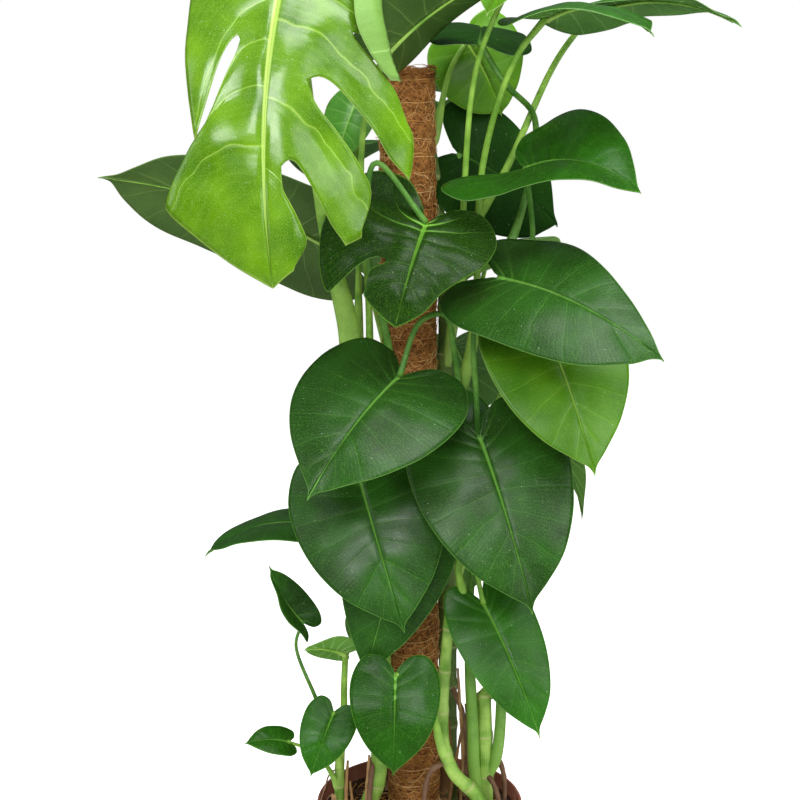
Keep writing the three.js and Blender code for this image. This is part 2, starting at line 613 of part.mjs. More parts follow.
function thickened(sheet, faces) {
  const normals = sheet.map(() => new THREE.Vector3());
  const open = new Map();
  for (const [a, b, c] of faces) {
    const side = sheet[b].clone().sub(sheet[a]);
    const normal = side.cross(sheet[c].clone().sub(sheet[a]));
    for (const v of [a, b, c]) normals[v].add(normal);
    for (const [from, to] of [[a, b], [b, c], [c, a]]) {
      if (!open.delete(to + " " + from)) open.set(from + " " + to, [from, to]);
    }
  }
  const count = sheet.length;
  const position = new Float32Array(6 * count);
  sheet.forEach((point, i) => {
    const offset = normals[i].normalize().multiplyScalar(BLADE_THICKNESS / 2);
    point.clone().add(offset).toArray(position, 3 * i);
    point.clone().sub(offset).toArray(position, 3 * (count + i));
  });
  const index = [];
  for (const [a, b, c] of faces) index.push(a, b, c, count + a, count + c, count + b);
  for (const [from, to] of open.values()) {
    index.push(to, from, count + from, to, count + from, count + to);
  }
  const geometry = new THREE.BufferGeometry();
  geometry.setAttribute("position", new THREE.BufferAttribute(position, 3));
  geometry.setIndex(index);
  return solidOf(geometry);
}

// The stalk leaves its stem outwards, rises, and ends across the blade at the joint.
function stalkSolid(leaf) {
  const stem = STEMS[leaf.stem];
  const [thick, thin] = leaf.stalk;
  const foot = stemPoint(stem, leaf.from);
  const towards = vector(leaf.via ? leaf.via[0] : leaf.joint).sub(foot);
  const outward = new THREE.Vector3(towards.x, towards.y, 0).normalize();
  const start = foot.clone().addScaledVector(outward, STALK.buried * stem.radius[1]);
  const clear = foot.clone().addScaledVector(outward, stem.radius[0] + thick);
  clear.addScaledVector(UP, STALK.rise * stem.radius[0]);
  const joint = vector(leaf.joint);
  const bow = clear.clone().lerp(joint, STALK.bow[0]);
  bow.z = THREE.MathUtils.lerp(clear.z, joint.z, STALK.bow[1]);
  const middle = leaf.via ? leaf.via.map(vector) : [bow];
  const points = [start, clear, ...middle, joint];
  const curve = new THREE.CatmullRomCurve3(points, false, "centripetal");
  const steps = middle.length > 1 ? STALK.steps.long : STALK.steps.short;
  const radiusAt = (share) => THREE.MathUtils.lerp(thick, thin, share ** STALK.taper);
  return solidOf(tube(curve, radiusAt, STALK.sides, steps));
}

// A leaf is its blade and stalk in one, cut a clearance away from the stem it grows on.
function leafSolid(leaf, stemRoom) {
  return largestBody(bladeSolid(leaf).add(stalkSolid(leaf)).subtract(stemRoom[leaf.stem]));
}

function finish(colour, roughness) {
  return new THREE.MeshStandardMaterial({ color: COLOURS[colour], roughness, metalness: 0 });
}

function piece(name, geometry, material) {
  const mesh = new THREE.Mesh(geometry, material);
  mesh.name = name;
  return mesh;
}

const stemRoom = {};
for (const [name, stem] of Object.entries(STEMS)) stemRoom[name] = stemSolid(stem, CLEARANCE);

let soil = soilSolid().subtract(poleRoom());
for (const room of Object.values(stemRoom)) soil = soil.subtract(room);

const holder = new THREE.Group();
holder.add(piece("pot", geometryOf(potSolid()), finish("pot", 0.55)));
holder.add(piece("soil", geometryOf(largestBody(soil)), finish("soil", 0.95)));

const pole = new THREE.Group();
pole.add(piece("pole_core", geometryOf(solidOf(stakeGeometry(0))), finish("stake", 0.7)));
pole.add(piece("coir_sleeve", geometryOf(solidOf(coirGeometry())), finish("coir", 0.95)));

const plant = new THREE.Group();
for (const [name, stem] of Object.entries(STEMS)) {
  plant.add(piece(name + "_stem", geometryOf(stemSolid(stem, 0)), finish("stem", 0.5)));
}
for (const leaf of LEAVES) {
  plant.add(piece(leaf.name, geometryOf(leafSolid(leaf, stemRoom)), finish(leaf.colour, 0.4)));
}

const group = new THREE.Group();
group.add(holder, pole, plant);

export default group;
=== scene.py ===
"""A potted monstera on a coir pole: its leaves, stems, coir, soil and pot, dressed round the CAD.

The tables and the blade, stalk and stem formulas are those of the part's source, in millimetres,
so that each finer piece keeps the form of the CAD node that it replaces.
"""

import functools
import math
import random
from itertools import accumulate, pairwise

import bmesh
import bpy
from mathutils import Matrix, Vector, noise


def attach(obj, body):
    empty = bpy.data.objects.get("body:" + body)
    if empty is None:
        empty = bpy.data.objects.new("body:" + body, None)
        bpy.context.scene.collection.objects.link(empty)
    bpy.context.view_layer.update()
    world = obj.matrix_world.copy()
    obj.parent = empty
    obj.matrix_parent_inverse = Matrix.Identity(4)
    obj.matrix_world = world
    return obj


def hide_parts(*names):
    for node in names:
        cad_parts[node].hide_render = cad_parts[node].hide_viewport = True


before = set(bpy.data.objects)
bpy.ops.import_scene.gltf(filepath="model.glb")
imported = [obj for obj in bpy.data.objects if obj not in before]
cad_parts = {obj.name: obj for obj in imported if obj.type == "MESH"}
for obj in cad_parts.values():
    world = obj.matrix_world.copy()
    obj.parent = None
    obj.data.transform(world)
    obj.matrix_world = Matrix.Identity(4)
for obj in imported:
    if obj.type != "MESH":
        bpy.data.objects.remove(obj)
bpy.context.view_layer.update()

MM = 0.001
MERGE = 0.00002  # metres within which the edges of two sheets are one edge
UP = Vector((0, 0, 1))

# Sizes in millimetres, as in the part's source
POT = dict(height=200, rim=112, collar=109.5, collar_height=28, shoulder=105.5, base=82,
           wall=2.4, floor=3, bevel=1, rim_depth=5, sides=144)
DRAIN = dict(count=6, radius=6, circle=58)
SOIL = dict(top=183, radius=106, bump=2.5, sides=150, rows=46, crumbs=900, litter=420)
POLE = dict(foot=(-4, 3.3), head=(-15, 986), radius=28, bottom=60, sides=48, rows=300,
            fibres=4200, top_band=16)  # in the top band the fibres lie level
# A stalk starts this share of the stem's radius out from its middle, and is clear of the stem so
# many radii higher. With no other points to bend through, it bows at these shares of the way.
STALK = dict(buried=0.6, rise=3, bow=(0.42, 0.62), taper=0.6)
ROOT_RADIUS = 3.2
STEM_STEP = 3  # millimetres between the points up a stem
RING = 46  # millimetres between a stem's rings
RING_START = 12
SIDES = dict(stem=20, stalk=12, dry_stalk=10, midrib=8, root=8, thin_root=6)
EAR_LEVEL = 6  # how soon the midrib's line levels off beyond the joint, between the ears
# How the side veins' feet crowd to the stalk, and how they bend forwards on the leaf's right and
# on its left, seen from the stalk
VEIN_BOWS = (1.7, 1.5, 1.5)
STRAIGHT_VEINS = (1.7, 1.15, 1.15)  # on leaves without cuts, whose form the rows don't change

# The margin of one half of a leaf, from the notch at the stalk to the tip: across as a share of
# the half width, and along as a share of the length.
OUTLINES = {
    "heart": ((0.05, -0.05), (0.32, -0.17), (0.7, -0.17), (0.96, 0.01), (1, 0.24), (0.87, 0.49),
              (0.6, 0.71), (0.27, 0.86), (0.06, 0.94), (0, 1)),
    "longEar": ((0.1, -0.16), (0.32, -0.5), (0.66, -0.58), (0.82, -0.34), (0.62, -0.02),
                (0.52, 0.3), (0.44, 0.55), (0.3, 0.78), (0.1, 0.93), (0, 1)),
    "slim": ((0.05, -0.05), (0.32, -0.19), (0.7, -0.19), (0.94, -0.02), (0.9, 0.22),
             (0.74, 0.45), (0.5, 0.67), (0.24, 0.84), (0.06, 0.94), (0, 1)),
    "winged": ((0.08, -0.14), (0.34, -0.38), (0.74, -0.42), (1.03, -0.15), (1.08, 0.35),
               (0.84, 0.86), (0.5, 0.66), (0.4, 0.83), (0.18, 0.95), (0, 1)),
    "drawnIn": ((0.08, -0.1), (0.28, -0.2), (0.58, -0.22), (0.8, -0.02), (0.76, 0.28),
                (0.56, 0.48), (0.4, 0.64), (0.27, 0.83), (0.1, 0.95), (0, 1)),
    "broad": ((0.05, -0.05), (0.34, -0.19), (0.74, -0.19), (0.98, 0), (1.02, 0.25), (0.95, 0.5),
              (0.75, 0.73), (0.4, 0.88), (0.09, 0.95), (0, 1)),
    "strapped": ((0.1, -0.14), (0.4, -0.18), (0.66, -0.06), (0.69, 0.2), (0.54, 0.56),
                 (0.47, 0.63), (0.6, 0.72), (0.78, 0.8), (0.34, 0.93), (0, 1)),
    "lobed": ((0.1, -0.14), (0.5, -0.18), (0.74, -0.04), (0.84, 0.18), (1.14, 0.4), (1.2, 0.62),
              (0.98, 0.79), (0.58, 0.88), (0.2, 0.94), (0, 1)),
}
# Slots open from a place on their row to the margin, and holes close again before it.
CUTS = {
    "crown": (
        dict(half=1, row=0.53, start=0.5, gap=0.045),
        dict(half=-1, row=0.44, start=0.5, gap=0.02),
        dict(half=-1, row=0.63, start=0.3, gap=0.035),
        dict(half=-1, row=0.81, start=0.3, gap=0.03),
    ),
    "split": (dict(half=1, row=0.63, start=0.5, gap=0.045),),
    "windowed": (
        dict(half=1, row=0.63, start=0.15, end=0.75, gap=0.035),
        dict(half=1, row=0.44, start=0.5, gap=0.03),
        dict(half=-1, row=0.53, start=0.3, gap=0.03),
    ),
}
# Points up the middle of each stem, its radius at the soil and at the top, and its roots.
STEMS = {
    "main": dict(
        points=((33, 24, 60), (32, 22, 200), (30, 20, 420), (27, 20, 640), (26, 21, 760),
                (15, 38, 850), (6, 46, 925)),
        radius=(11, 8), roots=(((32, 18, 330), (46, 2, 300), (52, 0, 240), (50, 4, 150)),),
    ),
    "left": dict(
        points=((-70, -32, 110), (-62, -30, 185), (-45, -34, 245), (-43, -22, 330),
                (-50, -10, 450), (-56, -8, 600), (-60, -6, 690)),
        radius=(10, 8),
        roots=(((-50, -30, 262), (-52, -48, 250), (-54, -56, 215), (-50, -58, 130)),),
    ),
    "right": dict(
        points=((70, -14, 110), (71, -16, 200), (70, -18, 270), (68, -16, 335)), radius=(10, 8),
        roots=(((72, -16, 262), (84, -10, 252), (92, -8, 228), (88, -10, 140)),
               ((70, -18, 240), (79, -32, 232), (86, -35, 205), (88, -28, 150))),
    ),
    "front": dict(
        points=((66, -46, 120), (72, -53, 186), (58, -56, 232), (36, -56, 256), (25, -54, 285),
                (23, -52, 320), (26, -53, 380), (31, -52, 440)),
        radius=(8.5, 5.5), roots=(((28, -55, 268), (12, -60, 262), (4, -56, 225), (6, -54, 130)),),
    ),
    "small": dict(
        points=((-88, -24, 150), (-87, -28, 190), (-86, -30, 250), (-84, -30, 290)),
        radius=(6, 5), roots=(),
    ),
    "back": dict(
        points=((-6, 62, 80), (-6, 56, 200), (-8, 48, 380), (-10, 45, 560), (-12, 45, 700)),
        radius=(10, 7), roots=(((-8, 52, 300), (-28, 54, 290), (-36, 52, 240), (-34, 54, 140)),),
    ),
}
# Each leaf's stalk leaves its stem at a height, with a radius there and one at the joint, where
# the blade starts. Fold and curl are in degrees. Arch raises the midrib's middle and sway shifts
# it, and via are points that the stalk bends through. A row may end early.
LEAF_COLUMNS = (
    "tone stem height stalk joint tip face width arch fold curl via outlines cuts veins sway"
).split()
LEAF_ROWS = {
    "crown": (
        ("bright", "left", 650, (9, 4.5), (-118, -150, 1085), (-133, -215, 790), (0.05, -1, 0.2),
         232, 26, -4, -26, ((-74, -30, 730), (-95, -58, 830), (-108, -96, 960)), ("strapped", "lobed"),
         "crown", (2.2, 3, 1.8), 14),
        ("pale", "left", 560, (5, 2.6), (-98, 72, 799), (-338, 60, 872), (-0.1, 0.7, 0.72),
         165, 18, 6, -24, ((-72, 16, 700),), ("broad", "heart")),
        ("pale", "left", 540, (5, 2.8), (-36, -80, 994), (104, -100, 1076), (-0.3, 0.5, 0.8),
         108, 14, 8, 4, ((-52, -28, 640), (-53, -28, 760), (-60, -22, 860), (-56, -46, 930))),
        ("dark", "main", 740, (5, 2.6), (56, -30, 1006), (62, 80, 1020), (0.12, -0.3, 1),
         104, 10, 5, -22, ((84, -6, 800), (113, 15, 890), (112, -6, 936), (80, -40, 968))),
        ("green", "main", 600, (5, 2.8), (116, -72, 1028), (206, -150, 1008), (0.2, -0.1, 1),
         136, 18, 6, -34, ((54, -14, 720), (60, -38, 890), (88, -70, 990))),
        ("green", "main", 770, (5, 2.8), (168, -20, 1038), (302, -66, 1020), (0.15, 0.05, 1),
         124, 16, 6, -26, ((84, 4, 880), (134, 0, 990))),
        ("bright", "main", 680, (4.5, 2.4), (88, -112, 1076), (56, -134, 1026), (0.1, -0.5, 0.8),
         70, 8, 30, 10, ((40, -30, 780), (42, -38, 868), (52, -68, 985))),
        ("fresh", "main", 905, (4.5, 2.4), (48, 82, 1012), (88, 112, 934), (0.1, -0.9, 0.3),
         105, 10, 4, -8),
        ("dark", "main", 640, (4.5, 2.6), (40, 66, 896), (152, 128, 814), (0.1, -0.8, 0.6),
         150, 14, 4, -10),
        ("dark", "right", 325, (5.5, 2.6), (100, -62, 888), (206, -104, 866), (0.05, -0.6, 0.8),
         156, 22, 9, -12, ((98, -14, 520), (106, -8, 740), (112, -14, 815)), ("longEar", "heart")),
        ("fresh", "left", 670, (4, 2.2), (-66, 24, 950), (-86, -4, 885), (-0.3, -1, 0.2),
         56, 6, 0, -8, ((-64, 8, 800),)),
        ("dark", "left", 600, (4.5, 2.6), (4, -78, 836), (-26, -128, 742), (-0.05, -0.9, 0.4),
         176, 16, 2, -14, ((-33, -36, 700), (-52, -54, 800), (-45, -70, 893)), ("winged", "drawnIn"),
         "split", (1.9, 2.6, 1.5)),
        ("fresh", "main", 560, (4, 2.2), (72, 38, 800), (156, 96, 790), (0, 0.3, 0.9),
         92, 8, 4, -14, ((52, 40, 700),)),
    ),
    "middle": (
        ("dark", "right", 210, (5, 2.6), (76, -72, 782), (222, -165, 716), (0.2, -0.82, 0.62),
         146, 20, 4, -16,
         ((56, -28, 300), (51, -32, 400), (54, -32, 480), (57, -36, 630), (54, -52, 742)),
         ("broad", "slim")),
        ("bright", "main", 500, (4.5, 2.4), (120, -46, 738), (168, -116, 594), (0.15, -1, 0.35),
         142, 12, 2, -8, ((76, -14, 640),)),
        ("dark", "main", 560, (4.5, 2.6), (-22, -80, 686), (-108, -180, 588), (-0.1, -0.75, 0.65),
         164, 16, 4, -16, ((40, -4, 640), (34, -28, 700), (22, -56, 744), (-2, -68, 738))),
        ("dark", "right", 235, (4.5, 2.6), (58, -62, 622), (108, -135, 460), (0.1, -0.95, 0.4),
         162, 16, 2, -12, ((86, -28, 330), (78, -36, 420), (58, -46, 530))),
        ("dark", "left", 400, (4.5, 2.4), (-64, -58, 582), (-17, -118, 435), (-0.05, -0.95, 0.4),
         156, 14, 2, -14, ((-68, -24, 500),)),
        ("green", "left", 330, (4, 2.4), (-20, -53, 508), (-57, -72, 370), (-0.1, -1, 0.2),
         122, 8, 2, -10, ((-34, -38, 420),), ("slim", "slim")),
        ("green", "left", 420, (4, 2.2), (-112, 2, 512), (-230, 8, 474), (-0.2, -0.1, 1),
         88, 16, 6, -20),
        ("pale", "main", 430, (4, 2.2), (130, 26, 622), (170, -14, 522), (0.8, -0.3, 0.5),
         62, 8, 16, -10),
        ("dark", "main", 470, (3.5, 2), (36, -20, 636), (84, -22, 564), (0.1, -1, 0.2),
         64, 5, 0, -6),
    ),
    "lower": (
        ("green", "front", 425, (4.5, 2.4), (64, -62, 446), (120, -116, 322), (0.2, -0.9, 0.4),
         90, 12, 4, -14, ((38, -54, 488), (49, -58, 500))),
        ("green", "front", 275, (4.2, 2.2), (-26, -88, 380), (-28, -120, 284), (0, -1, 0.35),
         92, 10, 8, -14, ((8, -76, 350),)),
        ("green", "small", 250, (3, 1.8), (-90, -74, 332), (-113, -102, 274), (-0.1, -1, 0.35),
         56, 6, 6, -12),
        ("green", "small", 225, (2.6, 1.6), (-138, -70, 298), (-182, -84, 302), (-0.1, -0.6, 0.8),
         36, 6, 6, -14),
        ("dark", "small", 270, (2.8, 1.6), (-122, -58, 424), (-152, -82, 492), (0.7, -0.6, 0.4),
         46, -6, 24, 6, ((-112, -34, 335), (-130, -42, 392))),
        ("fresh", "small", 284, (4.5, 3.2), (-78, -50, 388), (-120, -78, 402), (-0.2, 0.75, 0.65),
         44, 4, 4, 4),
    ),
    "back": (
        ("green", "back", 560, (4.5, 2.6), (-10, 112, 790), (-24, 228, 722), (-0.1, 0.7, 0.8),
         142, 20, 4, -16),
        ("dark", "back", 500, (4.5, 2.6), (36, 106, 690), (66, 196, 580), (0.2, 0.9, 0.5),
         148, 18, 4, -16),
        ("dark", "back", 420, (4.5, 2.4), (-30, 100, 585), (-54, 182, 468), (-0.2, 1, 0.45),
         138, 16, 4, -14),
        ("green", "back", 340, (4, 2.2), (34, 94, 480), (50, 160, 370), (0.1, 1, 0.4),
         116, 12, 4, -14),
        ("green", "back", 260, (3.5, 2), (-34, 96, 385), (-52, 150, 292), (-0.2, 1, 0.4),
         92, 10, 4, -14),
        ("green", "back", 690, (5, 2.8), (-2, 126, 966), (-12, 246, 906), (0, 0.5, 0.9),
         152, 24, 4, -16, (), ("heart", "heart"), "windowed"),
        ("green", "back", 620, (4.5, 2.6), (-66, 92, 905), (-112, 196, 850), (-0.3, 0.5, 0.9),
         132, 20, 4, -16, ((-56, 74, 770),)),
        ("green", "right", 270, (3.5, 2), (82, 48, 400), (98, 104, 318), (0.3, 1, 0.4),
         82, 10, 4, -14),
    ),
}
LEAVES = [
    dict(zip(LEAF_COLUMNS, values), name=f"{group}_leaf_{number}")
    for group, rows in LEAF_ROWS.items()
    for number, values in enumerate(rows, 1)
]

BLADE = dict(thickness=0.7, groove=0.8, quilt=0.45, swell=1.7, wave=1.6, large=110)
# One lobe of the front leaf is turned over along its margin and shows its underside.
ROLL = dict(leaf="crown_leaf_1", half=-1, rows=(0.04, 0.14, 0.33, 0.48), column=0.66, width=30,
            height=8)
GRID = dict(large=(18, 64), small=(12, 44), cut=(32, 84))  # columns across a half, and rows
VEINS_PER_HALF = dict(large=11, small=8, cut=8)
LAST_VEIN = 0.86  # the row past which the tip has no side veins
MIDRIB = dict(end=0.94, steps=26)


# Curves and sheets


def mix(a, b, share):
    return a + (b - a) * share


def smooth(low, high, value):
    share = min(max((value - low) / (high - low), 0), 1)
    return share * share * (3 - 2 * share)


def cubic(start, end, leaving, arriving, share):
    """A point of the cubic curve from start to end that has the given slopes there."""
    cube = (2 * start - 2 * end + leaving + arriving) * share**3
    square = (-3 * start + 3 * end - 2 * leaving - arriving) * share * share
    return cube + square + leaving * share + start


def margin_point(points, share):
    """A point of the uniform spline through an outline's points."""
    last = len(points) - 1
    place = share * last
    i = min(int(place), last)
    near = [points[min(max(i + step, 0), last)] for step in (-1, 0, 1, 2)]
    return [cubic(b, c, (c - a) / 2, (d - b) / 2, place - i) for a, b, c, d in zip(*near)]


def curve_point(points, share):
    """A point of the centripetal curve that the stalks and stems follow."""
    last = len(points) - 1
    place = share * last
    i = min(int(place), last - 1)
    p1, p2 = points[i], points[i + 1]
    p0 = points[i - 1] if i else 2 * p1 - p2
    p3 = points[i + 2] if i + 2 <= last else 2 * p2 - p1
    d0, d1, d2 = ((b - a).length ** 0.5 for a, b in ((p0, p1), (p1, p2), (p2, p3)))
    leaving = ((p1 - p0) / d0 - (p2 - p0) / (d0 + d1) + (p2 - p1) / d1) * d1
    arriving = ((p2 - p1) / d1 - (p3 - p1) / (d1 + d2) + (p3 - p2) / d2) * d1
    return cubic(p1, p2, leaving, arriving, place - i)


def distances(path):
    """How far along a path each of its points lies."""
    return [0, *accumulate((b - a).length for a, b in pairwise(path))]


def even_path(points, step):
    """Points a step apart along the curve through the given points, in millimetres."""
    control = [Vector(p) for p in points]
    fine = 12 * (len(control) - 1)
    dense = [curve_point(control, i / fine) for i in range(fine + 1)]
    run = distances(dense)
    count = max(int(run[-1] / step), 3)
    path, j = [], 0
    for i in range(count + 1):
        want = run[-1] * i / count
        while j < fine - 1 and run[j + 1] < want:
            j += 1
        share = (want - run[j]) / max(run[j + 1] - run[j], 1e-9)
        path.append(dense[j].lerp(dense[j + 1], min(share, 1)))
    return path


def path_frames(path):
    """Two directions across the path at each of its points, which turn as little as they can."""
    frames = []
    side = None
    for i in range(len(path)):
        ahead = (path[min(i + 1, len(path) - 1)] - path[max(i - 1, 0)]).normalized()
        if side is None:
            side = ahead.cross(Vector((0.3, 1, 0.1))).normalized()
        side = (side - ahead * side.dot(ahead)).normalized()
        frames.append((side, ahead.cross(side)))
    return frames


def new_mesh():
    """An empty bmesh with the layers that the leaf, stalk and fibre materials read."""
    bm = bmesh.new()
    bm.loops.layers.uv.new("UVMap")
    bm.verts.layers.float_vector.new("place")
    bm.verts.layers.float_vector.new("grain")
    return bm


def sheet(bm, columns, rows, lay):
    """A grid laid out point by point: lay(i, j) gives the place in millimetres, and the values
    of the two layers there. Returns its faces."""
    made = bmesh.ops.create_grid(bm, x_segments=columns, y_segments=rows, size=0.5, calc_uvs=True)
    place, grain = (bm.verts.layers.float_vector[name] for name in ("place", "grain"))
    for vert in made["verts"]:
        i, j = round((vert.co.x + 0.5) * columns), round((vert.co.y + 0.5) * rows)
        point, vert[place], vert[grain] = lay(i, j)
        vert.co = point * MM
    return list({face for vert in made["verts"] for face in vert.link_faces})


def tube(bm, path, sides, radius_at, tone=0, slot=0):
    """A grid wrapped round a path and closed at both ends. Its place layer holds the share of
    the way round, the millimetres along, and the share of the way along."""
    frames = path_frames(path)
    last = len(path) - 1
    run = distances(path)

    def lay(i, j):
        at = min(max(j - 1, 0), last)
        share = run[at] / run[-1]
        angle = math.tau * i / sides
        radius = 0 if j in (0, last + 2) else radius_at(share, angle)
        side, other = frames[at]
        point = path[at] + (side * math.cos(angle) + other * math.sin(angle)) * radius
        return point, (i / sides, run[at], share), (tone, 0, 0)

    for face in sheet(bm, sides, last + 2, lay):
        face.material_index = slot


def to_mesh(bm, name):
    mesh = bpy.data.meshes.new(name)
    bm.to_mesh(mesh)
    bm.free()
    return mesh


def add_object(name, data):
    made = bpy.data.objects.new(name, data)
    bpy.context.scene.collection.objects.link(made)
    return made


def finished(bm, name, materials, nodes=()):
    """Closes a bmesh's seams and makes it a smooth piece that rides with the CAD."""
    bmesh.ops.remove_doubles(bm, verts=bm.verts[:], dist=MERGE)
    for face in bm.faces:
        face.smooth = True
    piece = add_object(name, to_mesh(bm, name))
    for material in materials:
        piece.data.materials.append(material)
    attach(piece, "root")
    if nodes:
        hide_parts(*nodes)
    return piece


# Materials

BUMP_WIDTH = 0.1  # the filter width that Blender gives a bump


def colour(code):
    """The linear colour of an sRGB hex value such as 0x4a8230."""
    parts = [(code >> shift & 255) / 255 for shift in (16, 8, 0)]
    return [c / 12.92 if c <= 0.04045 else ((c + 0.055) / 1.055) ** 2.4 for c in parts] + [1]


def connect(tree, socket, value):
    """Gives an input its value, or links it to a socket or to a node's first output in use."""
    if isinstance(value, bpy.types.Node):
        value = next(output for output in value.outputs if output.enabled)
    if isinstance(value, bpy.types.NodeSocket):
        tree.links.new(value, socket)
    else:
        socket.default_value = value


def add_node(tree, kind, *values, **settings):
    """Adds a shader node with its settings, and connects its inputs in use, in their order. A
    kind in capitals is what a Math node does."""
    if kind.isupper():
        kind, settings["operation"] = "Math", kind
    node = tree.nodes.new("ShaderNode" + kind)
    for name, value in settings.items():
        setattr(node, name, value)
    for socket, value in zip([socket for socket in node.inputs if socket.enabled], values):
        connect(tree, socket, value)
    return node


def new_material(name):
    """A material, the function that adds nodes to it, and its object coordinates."""
    material = bpy.data.materials.new(name)
    material.use_nodes = True
    add = functools.partial(add_node, material.node_tree)
    return material, add, add("TexCoord").outputs["Object"]


def dressed(material, looks):
    """The material, with the inputs of its shader set."""
    tree = material.node_tree
    for name, value in looks.items():
        connect(tree, tree.nodes["Principled BSDF"].inputs[name], value)
    return material


# The waxy skin of a leaf: a soft shine that breaks up between the veins. The underside is paler
# and duller. The place layer holds the distance from the midrib in halves of its width, the
# millimetres from the margin and the share of the way to it, and the grain layer the number of
# side veins passed, the millimetres between two of them and the leaf's age.
def leaf_skin(name, greens, ink, dull=0.5, upper=True, index=1.38, fan=0.12, tail=0.35):
    material, add, coords = new_material(name)
    deep, fresh, vein = (colour(green) for green in greens)
    place = add("Attribute", attribute_name="place").outputs["Vector"]
    off_rib, margin, share = add("SeparateXYZ", place).outputs
    grain = add("Attribute", attribute_name="grain").outputs["Vector"]
    phase, spacing, age = add("SeparateXYZ", grain).outputs
    rib = add("MapRange", off_rib, 0.45, 1.2, 0.9, 0, interpolation_type="SMOOTHSTEP")

    # Side veins lie at whole numbers of the phase, and thin out to the margin.
    wander = add("TexNoise", coords, 38, 1)
    bent = add("MULTIPLY_ADD", wander, 0.22, phase)
    off_vein = add("PINGPONG", bent, 0.5)
    vein_mm = add("MULTIPLY", off_vein, spacing)
    # The first few fan out from the stalk, and are thick and pale there.
    inner = add("MapRange", share, 0, 0.75, 1, 0)
    first = add("MapRange", phase, 1.5, 4, 1, 0)
    fanned = add("MULTIPLY", inner, first)
    vein_width = add("MapRange", share, 0, 1, 0.75, 0.25)
    wider = add("MULTIPLY_ADD", fanned, 0.7, vein_width)
    vein_share = add("DIVIDE", vein_mm, wider)
    veins = add("MapRange", vein_share, 0.4, 1.5, 1, 0, interpolation_type="SMOOTHSTEP")
    vein_glow = add("MapRange", vein_mm, 0, 3.5, 1, 0, interpolation_type="SMOOTHSTEP")

    # Finer veins run beside them, about 2 mm apart, and a net of cells as wide fills the rest.
    finer = add("MULTIPLY", bent, 8)
    off_fine = add("PINGPONG", finer, 0.5)
    fine = add("MapRange", off_fine, 0.02, 0.3, 1, 0)
    cells = add("TexVoronoi", coords, 520, feature="DISTANCE_TO_EDGE")
    net = add("MapRange", cells, 0, 0.12, 1, 0)

    # The green varies in patches about 40 mm across and is fresher along the veins, which are pale.
    patches = add("TexNoise", coords, 24, 3)
    patch = add("MapRange", patches, 0.32, 0.7, 0, 0.62)
    glow = add("MULTIPLY_ADD", vein_glow, 0.08, patch)
    aged = add("ADD", glow, age, use_clamp=True)
    tint = add("Mix", aged, deep, fresh, data_type="RGBA")
    streak = add("MULTIPLY", fine, 0.03)
    netting = add("MULTIPLY", net, 0.16)
    inked = add("MULTIPLY_ADD", fanned, fan, ink)
    vein_ink = add("MULTIPLY", veins, inked, use_clamp=True)
    fading = add("MapRange", phase, 0.5, 7, 1, tail)
    rib_ink = add("MULTIPLY", rib, fading)
    edge = add("MapRange", margin, 0.3, 1, 0.35, 0)
    for pale in (streak, netting, vein_ink, rib_ink, edge):
        tint = add("Mix", pale, tint, vein, data_type="RGBA")

    # A few specks of chalk 1 mm across lie on the upper side, where drops of water have dried.
    drops = add("TexVoronoi", coords, 150)
    dot = add("MapRange", drops, 0.045, 0.085, 1, 0)
    rare = add("SeparateColor", drops.outputs["Color"])
    picked = add("GREATER_THAN", rare, 0.72 if upper else 2)
    speck = add("MULTIPLY", dot, picked)
    chalk = add("MULTIPLY", speck, 0.5)
    tint = add("Mix", chalk, tint, colour(0xC9D6BE), data_type="RGBA")

    # The wax is a little uneven, over about 17 mm, so the gloss is broken up.
    worn = add("TexNoise", coords, 60, 2)
    rough = add("MapRange", worn, 0.3, 0.7, dull - 0.06, dull + 0.08)

    # Veins are sunk on the upper side and stand out below.
    way = -1 if upper else 1
    sunk = add("MULTIPLY", vein_glow, way * 0.22)
    lined = add("MULTIPLY_ADD", fine, way * 0.035, sunk)
    pored = add("MULTIPLY_ADD", net, way * 0.015, lined)
    uneven = add("MULTIPLY_ADD", patches, 0.9, pored)
    bump = add("Bump", 0.5, 0.001, BUMP_WIDTH, uneven)
    return dressed(material, {"Base Color": tint, "Roughness": rough, "IOR": index, "Normal": bump})


# The fleshy green skin of stalks and stems: a moist satin with fine lengthwise lines, patches
# about 20 mm across and pale specks under 1 mm. The place layer holds the share round, the
# millimetres along and the share along. A stem has a pale scar round it at each ring.
def stalk_skin(name, deep, fresh, base, ring=0):
    material, add, coords = new_material(name)
    place = add("Attribute", attribute_name="place").outputs["Vector"]
    around, run, along = add("SeparateXYZ", place).outputs
    lines = add("MULTIPLY", around, 22)
    ribs = add("PINGPONG", lines, 0.5)
    patches = add("TexNoise", coords, 45, 3)
    patch = add("MapRange", patches, 0.35, 0.68, 0, 1)
    foot = add("MapRange", along, 0, 0.3, 0.7, 0)
    line_ink = add("MULTIPLY", ribs, 0.6)
    pores = add("TexVoronoi", coords, 420)
    dots = add("MapRange", pores, 0.1, 0.2, 0.45, 0)
    ring_run = add("ADD", run, RING_START)
    off_ring = add("PINGPONG", ring_run, ring / 2)
    scar = add("MapRange", off_ring, 0.8, 1.8, 0.5 if ring else 0, 0)
    tint = add("Mix", patch, colour(deep), colour(fresh), data_type="RGBA")
    for share, over in ((foot, base), (line_ink, fresh), (dots, 0xCBE0A2), (scar, 0xBDB880)):
        tint = add("Mix", share, tint, colour(over), data_type="RGBA")
    height = add("MULTIPLY_ADD", patches, 1.5, ribs)
    bump = add("Bump", 0.35, 0.0006, BUMP_WIDTH, height)
    return dressed(material, {"Base Color": tint, "Roughness": 0.42, "IOR": 1.45, "Normal": bump})


